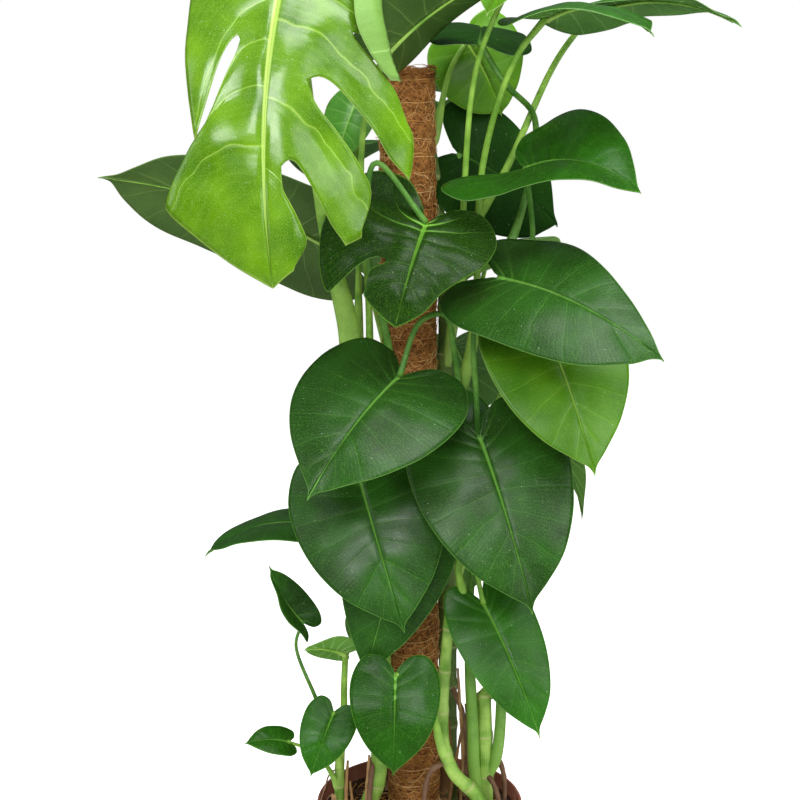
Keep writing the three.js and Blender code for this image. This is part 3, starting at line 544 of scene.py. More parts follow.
# Dead plant fibre, such as coir, root bark and the strands in the soil: dull, stained over about
# 10 mm, and each strand has its own brown, which the grain layer picks.
def dry_fibre(name, darkest, middle, palest):
    material, add, coords = new_material(name)
    grain = add("Attribute", attribute_name="grain").outputs["Vector"]
    stain = add("TexNoise", coords, 90, 3)
    stained = add("MapRange", stain, 0.3, 0.7, -0.16, 0.16)
    tone = add("ADD", add("SeparateXYZ", grain), stained, use_clamp=True)
    tint = add("ValToRGB", tone)
    tint.color_ramp.elements[0].color = colour(darkest)
    tint.color_ramp.elements[1].color = colour(palest)
    tint.color_ramp.elements.new(0.5).color = colour(middle)
    bump = add("Bump", 0.5, 0.0008, BUMP_WIDTH, stain)
    looks = {"Base Color": tint, "Roughness": 0.85, "Specular IOR Level": 0.25, "Normal": bump}
    return dressed(material, looks)


# The coir's matted ground and the potting mix: dull and crumbly, in grains of their real size.
def crumbly(name, dark, light, grain_mm):
    material, add, coords = new_material(name)
    grains = add("TexVoronoi", coords, 1000 / grain_mm)
    fog = add("TexNoise", coords, 250 / grain_mm, 4)
    pick = add("SeparateColor", grains.outputs["Color"])
    blend = add("MULTIPLY_ADD", pick, 0.5, fog)
    share = add("MapRange", blend, 0.45, 1.1, 0, 1)
    tint = add("Mix", share, colour(dark), colour(light), data_type="RGBA")
    lumps = add("ADD", grains, fog)
    bump = add("Bump", 0.9, grain_mm * MM / 2, BUMP_WIDTH, lumps)
    looks = {"Base Color": tint, "Roughness": 0.95, "Specular IOR Level": 0.2, "Normal": bump}
    return dressed(material, looks)


# Injection-moulded polypropylene in terracotta brown: a fine spark-eroded grain about 0.6 mm
# across gives a dull satin, with chalky smears from watering.
def moulded_polypropylene(name, base, smear):
    material, add, coords = new_material(name)
    grain = add("TexNoise", coords, 1600, 1)
    drips = add("Mapping", coords, (0, 0, 0), (0, 0, 0), (60, 60, 9))
    smears = add("TexNoise", drips, 1, 4)
    chalk = add("MapRange", smears, 0.52, 0.78, 0, 0.4)
    tint = add("Mix", chalk, colour(base), colour(smear), data_type="RGBA")
    rough = add("MapRange", smears, 0.3, 0.8, 0.42, 0.66)
    bump = add("Bump", 0.25, 0.0002, BUMP_WIDTH, grain)
    return dressed(material, {"Base Color": tint, "Roughness": rough, "Normal": bump})


# Sawn softwood of the stake inside the coir: brown growth lines about 2 mm apart along it.
def sawn_softwood(name, late, early):
    material, add, coords = new_material(name)
    stretched = add("Mapping", coords, (0, 0, 0), (0, 0, 0), (1, 1, 0.06))
    rings = add("TexWave", stretched, 160, 3)
    tint = add("Mix", rings, colour(late), colour(early), data_type="RGBA")
    return dressed(material, {"Base Color": tint, "Roughness": 0.8})


# Each look: its deep green, its fresh green and the green of its veins, then how strong the veins
# are, how dull the wax is and its index of refraction, how pale the first veins are where they
# fan out from the stalk, and how pale the midrib stays at the tip.
UPPER_SIDES = dict(
    veined=dict(greens=(0x346400, 0x6C9E02, 0xB8D868), ink=0.28, dull=0.19, index=1.5, fan=0.3,
                tail=0.9),
    # The jointed look is a dark leaf's green made darker still: painted shade on the split leaf, which
    # lies among the others.
    jointed=dict(greens=(0x061E03, 0x103206, 0x7CBC40), ink=0.04, dull=0.3, index=1.22, fan=0.9),
    young=dict(greens=(0x0C3802, 0x1E5E08, 0x7CBC48), ink=0.03, dull=0.3, index=1.24),
    deep=dict(greens=(0x0C2C06, 0x1E5010, 0x80C050), ink=0.05, dull=0.34, index=1.28, tail=0.6),
    # The shaded look is painted shade: darker greens for two leaves that lie in the shade of others.
    shaded=dict(greens=(0x0A2606, 0x173C0A, 0x4C7C34), ink=0.04, dull=0.45, index=1.12),
    bright=dict(greens=(0x387002, 0x5E980A, 0xA4CC58), ink=0.12, dull=0.34, tail=1),
    fresh=dict(greens=(0x2A6810, 0x4B9022, 0x98C868), ink=0.24, dull=0.38),
    green=dict(greens=(0x124204, 0x276A0C, 0x7CBC48), ink=0.04, dull=0.36, index=1.33, tail=0.6),
    dark=dict(greens=(0x0E3206, 0x286412, 0x80C050), ink=0.05, dull=0.34, index=1.36, tail=0.6),
    pale=dict(greens=(0x305A16, 0x4E7C28, 0x90B664), ink=0.3, dull=0.42),
)
UNDERSIDES = dict(
    veined=dict(greens=(0x608C34, 0x82AE54, 0xB4D486), ink=0.4),
    bright=dict(greens=(0x6AA02E, 0x92C256, 0xCCE8A0), ink=0.5),
    fresh=dict(greens=(0x4C8424, 0x70A842, 0xB4D888), ink=0.4),
    green=dict(greens=(0x3A6C20, 0x588C3A, 0x98C470), ink=0.3),
    dark=dict(greens=(0x2E5818, 0x4A7630, 0x8CB868), ink=0.3),
    pale=dict(greens=(0x34541A, 0x4E702A, 0x80A050), ink=0.3),
)
# Leaves whose skin isn't that of their tone.
OWN_LOOKS = dict(
    crown_leaf_1="veined", crown_leaf_4="shaded", crown_leaf_8="bright", crown_leaf_9="shaded",
    crown_leaf_10="young", crown_leaf_12="jointed", middle_leaf_1="deep", middle_leaf_3="deep",
    middle_leaf_6="dark", lower_leaf_2="young", lower_leaf_3="young", lower_leaf_4="young",
)
leaf_materials = {}
for look, upper_side in UPPER_SIDES.items():
    underside = UNDERSIDES.get(look, UNDERSIDES["dark"])
    leaf_materials[look] = [
        leaf_skin("waxy_leaf_skin_" + look, **upper_side),
        leaf_skin("leaf_underside_" + look, upper=False, **underside),
    ]
petiole_green = stalk_skin("fleshy_stalk_skin", 0x5C9224, 0x98C84C, 0xB6DA70)
petiole_dark = stalk_skin("dark_stalk_skin", 0x36701C, 0x689E3A, 0x98C454)
stem_green = stalk_skin("stem_skin", 0x588C24, 0xA8CE60, 0x8CAC48, RING)
# The main and back stems stand behind the others. Their skin is darker and browner: partly an older
# stem's own colour, partly painted shade.
stem_old_in_painted_shade = stalk_skin("old_stem_skin_in_painted_shade", 0x44682A, 0x748C44, 0x6E6438, RING)
root_bark = dry_fibre("aerial_root_bark", 0x4A3220, 0x7E614A, 0xA88A68)
sheath_paper = dry_fibre("papery_dead_sheath", 0x6A4A2C, 0xA07C50, 0xC8A878)
coir_strand = dry_fibre("coir_fibre", 0x6A3C18, 0xCC924A, 0xF2CF94)
coir_ground = crumbly("matted_coir", 0x5A3216, 0xB87E42, 1.6)
potting_mix = crumbly("potting_mix", 0x1F140D, 0x5A3F2A, 3)
pot_plastic = moulded_polypropylene("moulded_polypropylene", 0x9C5D48, 0xC4A596)
stake_wood = sawn_softwood("sawn_softwood", 0x8A6B46, 0xB08E62)


# Leaves


class Blade:
    """Where the points of one leaf's blade lie, from its row of the table."""

    def __init__(self, leaf):
        joint, tip, facing = (Vector(leaf[name]) for name in ("joint", "tip", "face"))
        self.joint = joint
        self.length = (tip - joint).length
        self.along = (tip - joint).normalized()
        self.normal = (facing - self.along * facing.dot(self.along)).normalized()
        self.across = self.along.cross(self.normal)
        self.half = leaf["width"] / 2
        self.arch = leaf["arch"]
        self.sway = leaf.get("sway", 0)
        self.fold = math.radians(leaf["fold"])
        self.curl = math.radians(leaf["curl"])
        right, left = leaf.get("outlines", ("heart", "heart"))
        self.margins = {1: OUTLINES[right], -1: OUTLINES[left]}
        veins = leaf.get("veins", VEIN_BOWS if "cuts" in leaf else STRAIGHT_VEINS)
        self.crowding, right, left = veins
        self.bows = {1: right, -1: left}

    def midrib(self, share):
        ears = 1 - EAR_LEVEL * share
        lift = 4 * self.arch * share * (1 - share if share > 0 else 1 / ears)
        sway = 4 * self.sway * share * (1 - share) / (1 - EAR_LEVEL * min(share, 0))
        line = self.joint + self.along * share * self.length
        return line + self.normal * lift + self.across * sway

    def normal_at(self, share):
        ears = 1 - EAR_LEVEL * share
        slope = 4 * self.arch * (1 - 2 * share if share > 0 else ears**-2)
        tangent = self.along * self.length + self.normal * slope
        return self.across.cross(tangent).normalized()

    def bend(self, x, y, lift=0):
        """The place of a flat point of the blade, raised off it by lift."""
        share, reach = y / self.length, abs(x) / self.half
        turned = self.fold + self.curl * reach
        out = (math.sin(turned) - math.sin(self.fold)) / self.curl
        rise = (math.cos(self.fold) - math.cos(turned)) / self.curl
        side = math.copysign(1, x)
        up = self.normal_at(share)
        tilted = up * math.cos(turned) - self.across * side * math.sin(turned)
        point = self.midrib(share) + self.across * side * self.half * out
        return point + up * self.half * rise + tilted * lift

    def flat(self, half, row, column):
        """A flat point on a row along the side veins, a share of the way to the margin."""
        edge_x, edge_y = margin_point(self.margins[half], min(max(row, 0), 1))
        foot = row**self.crowding
        along = foot + (edge_y - foot) * column ** self.bows[half]
        return half * edge_x * column * self.half, along * self.length


def cut_gap(cut, column, corner=0.3, opening=0.16):
    """How far a cut parts its row at a column, with a round end and a rounded lobe beside it."""
    if cut is None or column <= cut["start"] or column >= cut.get("end", 2):
        return 0
    opened = min((column - cut["start"]) / opening, 1)
    if "end" in cut:
        opened = min(opened, (cut["end"] - column) / opening)
    rounded = 1 + corner * smooth(0.8, 1, column) ** 2
    return cut["gap"] * math.sqrt(opened * (2 - opened)) * rounded


def vein_phase(stops, count, row):
    """The number of side veins up to a row: whole at a vein, and halfway between at a cut."""
    marks = [(0, 0), *((cut["row"], round(cut["row"] * count)) for cut in stops)]
    marks.append((LAST_VEIN, max(round(LAST_VEIN * count), marks[-1][1] + 1)))
    for (low, below), (high, above) in pairwise(marks):
        if row <= high:
            return mix(below, above, (row - low) / (high - low)) + 0.5
    return marks[-1][1] + 0.5


def leaf_rows(cuts, count):
    """Even rows from the notch to the tip, with one at each cut."""
    rows = []
    for low, high in pairwise(sorted({0, 1, *(cut["row"] for cut in cuts)})):
        steps = max(round((high - low) * count), 2)
        rows += [mix(low, high, i / steps) for i in range(steps)]
    return rows + [1]


def rib_width(leaf, share):
    """Half the midrib's width, which narrows from the stalk to the tip."""
    slow = 0.9 if "cuts" in leaf else 0.5
    return mix(leaf["stalk"][1] * 0.95, 0.4, max(share, 0) ** slow)


def roll_share(leaf, half, row):
    """How far the margin is turned over on a row, from 0 to 1."""
    if leaf["name"] != ROLL["leaf"] or half != ROLL["half"]:
        return 0
    start, full, late, end = ROLL["rows"]
    return smooth(start, full, row) * smooth(end, late, row)


def add_blade(bm, leaf, blade, luck):
    """Both halves of a blade, each in bands between its cuts, with veins and a wavy margin."""
    size = "cut" if "cuts" in leaf else "large" if blade.length > BLADE["large"] else "small"
    columns, count = GRID[size]
    vein_count = VEINS_PER_HALF[size]
    scale = min(blade.length / 130, 1.3)
    relief = scale * (2.2 if size == "cut" else 1)
    chance = Vector((0, 0, luck.uniform(0, 90)))
    cuts = CUTS.get(leaf.get("cuts"), ())
    rows = leaf_rows(cuts, count)
    age = luck.uniform(-0.12, 0.16)
    waves, turn = luck.uniform(2.2, 3.4), luck.uniform(0, 6)
    for half in (1, -1):
        stops = sorted((cut for cut in cuts if cut["half"] == half), key=lambda cut: cut["row"])
        at_row = {rows.index(cut["row"]): cut for cut in stops}
        for first, last in pairwise([0, *sorted(at_row), len(rows) - 1]):

            def lay(i, j, first=first, last=last, half=half, stops=stops, at_row=at_row):
                column = i / columns if half > 0 else 1 - i / columns
                low = rows[first] + cut_gap(at_row.get(first), column, 2)
                high = rows[last] - cut_gap(at_row.get(last), column)
                row = mix(low, high, (rows[first + j] - rows[first]) / (rows[last] - rows[first]))
                rolled = roll_share(leaf, half, row)
                crease = mix(1, ROLL["column"], rolled)
                over = max(column - crease, 0) / max(1 - crease, 0.01)
                out = min(column / crease, 1)
                x, y = blade.flat(half, row, out)
                x2, y2 = blade.flat(half, min(row + 0.01, 1), out)
                x3, y3 = blade.flat(half, row, out + 0.02)
                step, way = Vector((x2 - x, y2 - y)), Vector((x3 - x, y3 - y))
                spread = abs(way.normalized().cross(step)) / 0.01 if way.length > 1e-6 else 1
                spacing = max(spread / vein_count, 0.3)
                reach = math.dist(blade.flat(half, row, 0), blade.flat(half, row, 1))
                margin = (1 - column) * reach
                for stop, edge in ((first, low), (last, high)):
                    if cut_gap(at_row.get(stop), column) > 0:
                        margin = min(margin, abs(row - edge) * spread)

                # The midrib is sunk, the skin swells between the veins, and the margin waves.
                across = math.hypot(x, min(y, 0))
                phase = vein_phase(stops, vein_count, row)
                rib = rib_width(leaf, y / blade.length)
                lift = -BLADE["groove"] * math.exp(-((across / (1.6 * rib)) ** 2))
                between = abs(math.sin(math.pi * phase)) ** 0.8 * smooth(0.5, 6, spacing)
                inward = smooth(0, 0.12, column) * (1 - smooth(0.7, 1, column))
                lift += BLADE["quilt"] * relief * between * inward
                swell = noise.noise(Vector((x, y, 0)) / (34 * scale) + chance)
                lift += BLADE["swell"] * relief * smooth(0, 0.3, column) * swell
                wave = math.sin(math.tau * waves * row + turn + half) * column**2
                ends = smooth(0, 0.12, row) * smooth(1, 0.85, row)
                lift += BLADE["wave"] * scale * wave * ends
                if over > 0:
                    back = Vector((step.y, -step.x)).normalized()
                    back *= math.copysign(ROLL["width"] * rolled * over, back.dot(way))
                    x, y = x - back.x, y - back.y
                    lift += ROLL["height"] * rolled * math.sin(math.pi * min(over, 0.5))
                where = (across / rib, margin, column)
                return blade.bend(x, y, lift), where, (phase, spacing, age)

            sheet(bm, columns, last - first, lay)
    bmesh.ops.remove_doubles(bm, verts=bm.verts[:], dist=MERGE)
    bm.normal_update()
    tops = set(bm.faces)
    thickness = BLADE["thickness"] * MM
    home = bm.verts.layers.float_vector.new("home")
    for vert in bm.verts:
        vert.co += vert.normal * thickness / 2
        vert[home] = vert.co
    bmesh.ops.solidify(bm, geom=bm.faces[:], thickness=thickness)
    for vert in bm.verts:
        down = vert.co - vert[home]
        if down.length > 1.3 * thickness:  # where a fold is sharp
            vert.co = vert[home] + down.normalized() * thickness
    bm.verts.layers.float_vector.remove(home)
    for face in bm.faces:
        if face not in tops:
            face.material_index = 1


def stem_point(stem, height):
    """The point up a stem's middle at a height, found by halving."""
    points = [Vector(p) for p in stem["points"]]
    low, high = 0, 1
    for _ in range(24):
        middle = (low + high) / 2
        if curve_point(points, middle).z < height:
            low = middle
        else:
            high = middle
    return curve_point(points, low)


def stalk_points(leaf):
    """The points that a stalk bends through, from inside its stem to the joint."""
    stem = STEMS[leaf["stem"]]
    low, high = stem["radius"]
    foot = stem_point(stem, leaf["height"])
    joint = Vector(leaf["joint"])
    via = [Vector(p) for p in leaf.get("via", ())]
    towards = (via[0] if via else joint) - foot
    outward = Vector((towards.x, towards.y, 0)).normalized()
    start = foot + outward * STALK["buried"] * high
    clear = foot + outward * (low + leaf["stalk"][0]) + UP * STALK["rise"] * low
    bow = clear.lerp(joint, STALK["bow"][0])
    bow.z = mix(clear.z, joint.z, STALK["bow"][1])
    return [start, clear, *(via or [bow]), joint]


def add_stalk(bm, leaf, blade):
    """The stalk, with the sheath at its foot and the knee at its top, and the raised midrib."""
    thick, thin = leaf["stalk"]

    def stalk_radius(share, angle):
        radius = mix(thick, thin, share ** STALK["taper"])
        knee = math.exp(-(((share - 1) / 0.05) ** 2))
        sheath = smooth(0, 0.06, share) * smooth(0.42, 0.2, share)
        wings = max(0, math.cos(angle)) ** 6 + max(0, -math.cos(angle)) ** 6
        return radius * (1 + 0.28 * knee + sheath * (0.25 + 0.3 * wings))

    tube(bm, even_path(stalk_points(leaf), 5), SIDES["stalk"], stalk_radius, slot=2)
    ribs = []
    for i in range(MIDRIB["steps"] + 1):
        share = MIDRIB["end"] * i / MIDRIB["steps"]
        sunk = BLADE["groove"] + rib_width(leaf, share)
        ribs.append(blade.midrib(share) - blade.normal_at(share) * sunk)
    tube(bm, ribs, SIDES["midrib"], lambda share, angle: rib_width(leaf, MIDRIB["end"] * share),
         slot=2)


for leaf in LEAVES:
    name, tone = leaf["name"], leaf["tone"]
    bm = new_mesh()
    blade = Blade(leaf)
    add_blade(bm, leaf, blade, random.Random(name))
    add_stalk(bm, leaf, blade)
    stalk = petiole_dark if tone == "dark" else petiole_green
    skins = [*leaf_materials[OWN_LOOKS.get(name, tone)], stalk]
    finished(bm, name + "_blade_and_stalk", skins, [name])


# Stems

THIN_ROOTS = 7  # on each stem
SHEATHS = dict(main=4, small=4, back=2)  # papery strips on each of these stems
DRY_STALK = (2.6, 1.3)  # its radius in the soil and at its broken end
# Stalks of leaves that died, which still lean on the stems.
DRY_STALKS = dict(
    main=(((45, 4, 176), (47, -2, 250), (41, 2, 350)), ((55, 10, 176), (58, 6, 240), (50, 10, 306)),
          ((30, 2, 176), (38, -8, 240), (47, -6, 290))),
    small=(((-79, -36, 176), (-79, -42, 222), (-77, -38, 262)),
           ((-73, -34, 176), (-72, -40, 212), (-75, -37, 238))),
    left=(((-58, -46, 176), (-57, -46, 225), (-54, -42, 270)),),
)


def add_thin_root(bm, path, luck):
    """A thin brown root that wanders from the foot of a stem into the soil."""
    start = path[luck.randrange(3, min(34, len(path) - 3))]
    way = luck.uniform(0, math.tau)
    out = Vector((math.cos(way), math.sin(way), 0))
    out = (out + Vector((start.x, start.y, 0)) / 120).normalized()
    reach = luck.uniform(14, 34)
    points = [start]
    for share in (0.25, 0.5, 0.75, 1):
        spot = start + out * reach * (1 - (1 - share) ** 2)
        spot += Vector((luck.uniform(-3, 3), luck.uniform(-3, 3), 0))
        spot.z = mix(start.z, SOIL["top"] - 3, share**1.4)
        points.append(spot)
    thick = luck.uniform(0.6, 1.1)
    tube(bm, even_path(points, 4), SIDES["thin_root"],
         lambda share, angle: thick * mix(1, 0.7, share), luck.uniform(0.2, 0.8), slot=1)


def add_dry_stalk(bm, points, luck):
    """A dead leaf's stalk, shrivelled to ridges and dried brown."""

    def shrunk_radius(share, angle):
        ridges = 1 + 0.2 * math.sin(3 * angle + 9 * share) + 0.1 * math.sin(5 * angle)
        return mix(*DRY_STALK, share) * ridges * (1 + 0.12 * math.sin(31 * share))

    course = even_path(points, 4)
    tube(bm, course, SIDES["dry_stalk"], shrunk_radius, luck.uniform(0.2, 0.8), slot=2)


def add_sheath(bm, path, radius, luck):
    """What is left of a leaf's sheath: a papery strip that peels off the stem upwards."""
    columns, rows = 6, 20
    first = luck.randrange(2, min(max(len(path) - 30, 3), 60))
    spine = path[first : first + luck.choice((9, 14, 30))]
    way = luck.uniform(3.6, 5.8)
    wide = luck.uniform(0.5, 0.9)
    peel = luck.uniform(1.5, 5)
    tone = luck.uniform(0.2, 0.8)

    def lay(i, j):
        share = j / rows
        turn = way + wide * (i / columns - 0.5) * 2 * (1 - 0.55 * share**2)
        off = radius * 1.04 + 0.4 + peel * share**2 + 0.8 * math.sin(9 * share + 3 * i)
        spot = spine[min(int(share * (len(spine) - 1)), len(spine) - 1)]
        point = spot + Vector((math.cos(turn), math.sin(turn), 0)) * off
        return point, (i / columns, j * 3, share), (tone, 0, 0)

    for face in sheet(bm, columns, rows, lay):
        face.material_index = 2


for name, stem in STEMS.items():
    luck = random.Random(name)
    bm = new_mesh()
    low, high = stem["radius"]
    path = even_path(stem["points"], STEM_STEP)
    for _ in range(40):  # passed over, so that the roots keep their places
        luck.random()

    def stem_radius(share, angle, path=path, low=low, high=high):
        run = share * (len(path) - 1) * STEM_STEP
        joint = abs((run + RING_START) % RING - RING / 2) / (RING / 2)  # 1 at a ring
        swell = 0.12 * smooth(0.6, 1, joint) - 0.05 * smooth(0.97, 1, joint)
        top = math.sqrt(max(1 - smooth(0.96, 1, share), 0.05))
        return mix(low, high, share) * (0.98 + swell) * (1 + 0.02 * math.sin(3 * angle)) * top

    tube(bm, path, SIDES["stem"], stem_radius)
    for root in stem["roots"]:
        course = even_path(root, 4)
        knots = [luck.uniform(0.85, 1.12) for _ in course]

        def root_radius(share, angle, knots=knots):
            return ROOT_RADIUS * knots[round(share * (len(knots) - 1))] * mix(1, 0.75, share)

        tube(bm, course, SIDES["root"], root_radius, luck.uniform(0.3, 0.7), slot=1)
    for _ in range(THIN_ROOTS):
        add_thin_root(bm, path, luck)
    for points in DRY_STALKS.get(name, ()):
        add_dry_stalk(bm, points, luck)
    for _ in range(SHEATHS.get(name, 0)):
        add_sheath(bm, path, low, luck)
    # The darker skin of the main and back stems is partly painted shade.
    skin = stem_old_in_painted_shade if name in ("main", "back") else stem_green
    skins = [skin, root_bark, sheath_paper]
    finished(bm, name + "_stem_with_rings", skins, [name + "_stem"])


# The coir pole

(FOOT_X, FOOT_Z), (HEAD_X, HEAD_Z) = POLE["foot"], POLE["head"]
BOTTOM = POLE["bottom"]
threads = []  # the heights of the threads that bind the coir
luck = random.Random("threads")
height = BOTTOM + 14
while height < HEAD_Z - 12:
    threads.append(height)
    if luck.random() < 0.25:
        threads.append(height + 3.2)
    height += luck.uniform(13, 22)


def pole_radius(angle, z):
    """The coir's lumpy outside, drawn in a little at each binding thread."""
    lump = noise.noise(Vector((math.cos(angle) * 1.6, math.sin(angle) * 1.6, z / 26)))
    fine = noise.noise(Vector((math.cos(angle) * 5, math.sin(angle) * 5, z / 7)))
    pull = max(math.exp(-(((z - at) / 2.4) ** 2)) for at in threads)
    return POLE["radius"] + 1.4 * lump + 0.7 * fine - 0.8 * pull


def on_pole(angle, radius, z):
    """The point at an angle and a radius about the leaning pole."""
    x = mix(FOOT_X, HEAD_X, (z - FOOT_Z) / (HEAD_Z - FOOT_Z))
    return Vector((x + radius * math.cos(angle), radius * math.sin(angle), z))


def add_strands(name, rows, sides, steps, course):
    """A piece of many short tubes of coir in one grid: course(share, **row) gives the place,
    radius and tone of a row's tube."""
    bm = new_mesh()
    at = functools.cache(lambda n, k: course(k / steps, **rows[n]))

    def lay(i, j):
        n, k = divmod(j, steps + 1)
        point, radius, tone = at(n, k)
        before, after = at(n, max(k - 1, 0))[0], at(n, min(k + 1, steps))[0]
        ahead = (after - before).normalized()
        side = ahead.cross(Vector((0.31, 0.52, 0.8))).normalized()
        angle = math.tau * i / sides
        ring = side * math.cos(angle) + ahead.cross(side) * math.sin(angle)
        return point + ring * radius, (i / sides, k / steps, n), (tone, 0, 0)

    faces = sheet(bm, sides, len(rows) * (steps + 1) - 1, lay)
    place = bm.verts.layers.float_vector["place"]
    gaps = [face for face in faces if len({round(vert[place].z) for vert in face.verts}) > 1]
    bmesh.ops.delete(bm, geom=gaps, context="FACES_ONLY")
    finished(bm, name, [coir_strand])


def lay_core(i, j):
    """The coir's matted ground, which ends 4 mm below the pole's top and is rounded off there."""
    angle = math.tau * i / POLE["sides"]
    z = mix(BOTTOM, HEAD_Z - 4, min(max(j - 1, 0), POLE["rows"]) / POLE["rows"])
    radius = pole_radius(angle, z) - 7 * smooth(HEAD_Z - 9, HEAD_Z - 4, z)
    if j in (0, POLE["rows"] + 2):
        radius = 0
    return on_pole(angle, radius, z), (i / POLE["sides"], z, 0), (0.4, 0, 0)


def fibre_course(share, z, climb, angle, turn, curl, wiggle, phase, thick, tone, stray):
    sway = math.sin(share * wiggle * math.pi + phase)
    angle += turn * (share - 0.5)
    z = min(max(z + climb * (share - 0.5) + curl * sway, BOTTOM + 1), HEAD_Z)
    lift = 0.4 + stray * math.sin(share * math.pi) ** 3 * (0.6 + 0.4 * sway)
    point = on_pole(angle, pole_radius(angle, z) + lift, z)
    return point, thick * (0.35 if share in (0, 1) else 1), tone


def thread_course(share, n, height):
    """One turn of thread round the pole, which waves up and down a little."""
    angle = math.tau * share
    z = height + 1.2 * math.sin(angle + n) + 0.3 * math.sin(7 * angle + n)
    point = on_pole(angle, pole_radius(angle, height) + 0.55, z)
    return point, 0.45, 0.62 + 0.2 * math.sin(3 * n)


core = new_mesh()
sheet(core, POLE["sides"], POLE["rows"] + 2, lay_core)
finished(core, "matted_coir_sleeve", [coir_ground], ["coir_sleeve"])

luck = random.Random("fibres")
fibre_rows = []
for _ in range(POLE["fibres"]):
    z = luck.uniform(BOTTOM + 2, HEAD_Z - 2)
    if luck.random() < 0.06:
        z = HEAD_Z - luck.uniform(1, POLE["top_band"])
    level = z > HEAD_Z - POLE["top_band"]
    fibre_rows.append(dict(
        z=z, climb=luck.gauss(0, 3) if level else luck.gauss(1, 9),
        angle=luck.uniform(0, math.tau), turn=luck.choice((-1, 1)) * luck.uniform(0.25, 1.1),
        curl=luck.uniform(0.4, 1) if level else luck.uniform(1, 5.5),
        wiggle=luck.uniform(1, 3.6), phase=luck.uniform(0, 6), thick=luck.uniform(0.16, 0.42),
        tone=luck.gauss(0.5, 0.2) - (0.34 if level else 0),
        stray=luck.uniform(1.5, 7) if luck.random() < 0.15 else 0.6,
    ))
thread_rows = [dict(n=n, height=height) for n, height in enumerate(threads)]
add_strands("coir_fibres", fibre_rows, 3, 6, fibre_course)
add_strands("coir_binding_threads", thread_rows, 4, 40, thread_course)


# The pot and what fills it


def pot_profile():
    """Radius and height of the pot's corners, from the middle of its base round to its floor."""
    height, wall, bevel = POT["height"], POT["wall"], POT["bevel"]
    rim, collar, shoulder, base = POT["rim"], POT["collar"], POT["shoulder"], POT["base"]
    step, rim_foot = height - POT["collar_height"], height - POT["rim_depth"]
    return [
        (0, 0), (base - 2, 0), (base, 1.5), (shoulder, step), (collar - 0.3, step + 0.3),
        (collar, step + bevel), (rim - bevel, rim_foot), (rim - 0.2, rim_foot + 0.6),
        (rim, rim_foot + 1.6), (rim, height - 1.8), (rim - 0.6, height - 0.5),
        (rim - 1.6, height), (rim - bevel - wall + 0.4, height),
        (rim - bevel - wall, height - 0.6), (collar - wall, step + 3 * bevel),
        (shoulder - wall, step), (base - wall, POT["floor"]), (0, POT["floor"]),
    ]


pot = new_mesh()
corners = [pot.verts.new((r * MM, 0, z * MM)) for r, z in pot_profile()]
edges = [pot.edges.new(pair) for pair in pairwise(corners)]
bmesh.ops.spin(
    pot, geom=corners + edges, cent=(0, 0, 0), axis=UP, angle=math.tau, steps=POT["sides"],
    use_merge=True,
)
bmesh.ops.remove_doubles(pot, verts=pot.verts[:], dist=MERGE)
bmesh.ops.recalc_face_normals(pot, faces=pot.faces[:])
pot_piece = finished(pot, "nursery_pot", [pot_plastic], ["pot"])

cutters = bmesh.new()
for i in range(DRAIN["count"]):
    turn = math.tau * (i + 0.5) / DRAIN["count"]
    radius = DRAIN["radius"] * MM
    made = bmesh.ops.create_cone(
        cutters, cap_ends=True, segments=24, radius1=radius, radius2=radius, depth=0.02
    )
    spot = Vector((math.cos(turn), math.sin(turn), 0)) * DRAIN["circle"] * MM
    bmesh.ops.translate(cutters, verts=made["verts"], vec=spot)
cutter = add_object("drain_cutters", to_mesh(cutters, "drain_cutters"))
drill = pot_piece.modifiers.new("drain_holes", "BOOLEAN")
drill.object = cutter
drill.operation = "DIFFERENCE"
drill.solver = "EXACT"
evaluated = pot_piece.evaluated_get(bpy.context.evaluated_depsgraph_get())
drilled = bpy.data.meshes.new_from_object(evaluated)
pot_piece.modifiers.clear()
pot_piece.data = drilled
bpy.data.objects.remove(cutter)


def soil_height(x, y):
    """The soil's height at a place: the swell of the solid, with small lumps on it."""
    swell = math.sin(0.09 * x + 1.3) * math.cos(0.11 * y) + 0.6 * math.sin(0.21 * (x - y))
    lumps = noise.noise(Vector((x / 9, y / 9, 3))) + 0.5 * noise.noise(Vector((x / 3.5, y / 3.5, 8)))
    return SOIL["top"] + 0.6 * SOIL["bump"] * swell + 2.4 * lumps + 1.5


def lay_soil(i, j):
    """The soil's top, whose edge turns down inside the pot's wall."""
    angle, radius = math.tau * i / SOIL["sides"], SOIL["radius"] * j / SOIL["rows"]
    x, y = radius * math.cos(angle), radius * math.sin(angle)
    z = soil_height(x, y) if j < SOIL["rows"] else SOIL["top"] - 3
    return Vector((x, y, z)), (x, y, 0), (0, 0, 0)


soil = new_mesh()
sheet(soil, SOIL["sides"], SOIL["rows"], lay_soil)
finished(soil, "potting_mix_top", [potting_mix])

crumbs = new_mesh()
luck = random.Random("crumbs")
for _ in range(SOIL["crumbs"]):
    angle, radius = luck.uniform(0, math.tau), SOIL["radius"] * math.sqrt(luck.random()) - 3
    x, y = radius * math.cos(angle), radius * math.sin(angle)
    size = luck.uniform(0.9, 3)
    made = bmesh.ops.create_icosphere(crumbs, subdivisions=1, radius=size * MM)
    for vert in made["verts"]:
        vert.co *= luck.uniform(0.7, 1.15)
        vert.co.z *= 0.7
    spot = Vector((x, y, soil_height(x, y) + 0.35 * size)) * MM
    bmesh.ops.translate(crumbs, verts=made["verts"], vec=spot)
finished(crumbs, "potting_mix_crumbs", [potting_mix])

luck = random.Random("litter")
litter_rows = []
for _ in range(SOIL["litter"]):
    angle = luck.uniform(0, math.tau)
    radius = (SOIL["radius"] - 12) * math.sqrt(luck.random())
    litter_rows.append(dict(
        x=radius * math.cos(angle), y=radius * math.sin(angle), way=luck.uniform(0, math.pi),
        long=luck.uniform(8, 26), bow=luck.uniform(-4, 4), thick=luck.uniform(0.25, 0.6),
        tone=luck.uniform(0.1, 0.8), rise=luck.uniform(0, 3),
    ))


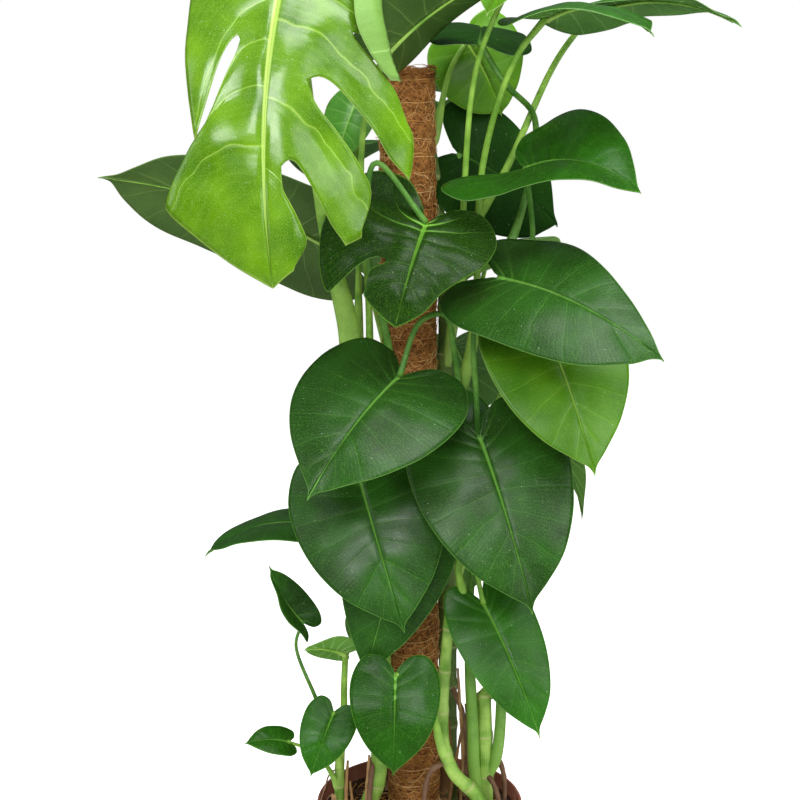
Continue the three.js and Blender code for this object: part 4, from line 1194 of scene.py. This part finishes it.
def litter_course(share, x, y, way, long, bow, thick, tone, rise):
    run, arc = long * (share - 0.5), math.sin(share * math.pi)
    x += run * math.cos(way) - bow * arc * math.sin(way)
    y += run * math.sin(way) + bow * arc * math.cos(way)
    point = Vector((x, y, soil_height(x, y) + 0.6 + rise * arc))
    return point, thick * (0.4 if share in (0, 1) else 1), tone


add_strands("fibres_in_potting_mix", litter_rows, 3, 5, litter_course)

for node, material in (("soil", potting_mix), ("pole_core", stake_wood)):
    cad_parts[node].data.materials.clear()
    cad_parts[node].data.materials.append(material)


# The studio

floor = bmesh.new()
bmesh.ops.create_circle(floor, cap_ends=True, segments=96, radius=4)
floor_piece = add_object("studio_floor", to_mesh(floor, "studio_floor"))
floor_piece.visible_glossy = False  # no white veil on the leaves

# White paper that glows, more so away from the pot, and so melts into the white room: painted light,
# which reaches the plant at 0.4 of the strength that the camera sees.
paper, add, coords = new_material("white_paper")
away = add("VectorMath", coords, operation="LENGTH")
lit = add("MapRange", away, 0.16, 0.45, 0.1, 0.97)
share = add("MapRange", add("LightPath").outputs["Is Camera Ray"], 0, 1, 0.4, 1)
paper_glow = add("MULTIPLY", lit, share)
floor_piece.data.materials.append(dressed(paper, {
    "Emission Strength": paper_glow, "Emission Color": colour(0xFFFFFF),
    "Base Color": colour(0xEDEDED), "Roughness": 0.9,
}))

# The room is white behind the plant, and the light that falls on it comes mostly from above.
world = bpy.data.worlds.new("white_room")
bpy.context.scene.world = world
world.use_nodes = True
add = functools.partial(add_node, world.node_tree)
sky = add("SeparateXYZ", add("TexCoord").outputs["Generated"])
shade = add("MapRange", sky.outputs["Z"], -0.1, 0.9, 0.05, 0.3)
glow = add("Mix", add("LightPath").outputs["Is Camera Ray"], shade, 1)
room = world.node_tree.nodes["Background"]
connect(world.node_tree, room.inputs["Strength"], glow)
room.inputs["Color"].default_value = colour(0xFFFFFF)

# Where each softbox stands and aims, its size in metres and its power in watts.
SOFTBOXES = dict(
    above=((0.4, -0.7, 2.5), (0, 0, 0.7), (1.5, 1.2), 44),
    front=((-0.35, -2.4, 1.95), (0, 0, 0.6), (1.2, 0.8), 34),
    right=((1.7, -1.7, 1.5), (0, 0, 0.6), (1.0, 1.6), 18),
    left=((-1.8, -1.0, 1.3), (0, 0, 0.6), (0.8, 1.6), 9),
)
for name, (spot, aim, size, power) in SOFTBOXES.items():
    light = bpy.data.lights.new("softbox_" + name, "AREA")
    light.shape = "RECTANGLE"
    light.size, light.size_y = size
    light.energy = power
    lamp = add_object("softbox_" + name, light)
    lamp.location = spot
    lamp.rotation_euler = (Vector(aim) - Vector(spot)).to_track_quat("-Z", "Y").to_euler()

# The camera stands about as high as the pole's top and looks a little down, as in the photograph.
camera = bpy.data.cameras.new("camera")
camera.lens = 67.5
camera.sensor_width = 36
eye = add_object("camera", camera)
eye.location = (-0.0214, -1.526, 0.958)
eye.rotation_euler = (math.radians(90 - 11.55), 0, 0)
bpy.context.scene.camera = eye
bpy.context.scene.view_settings.view_transform = "Standard"
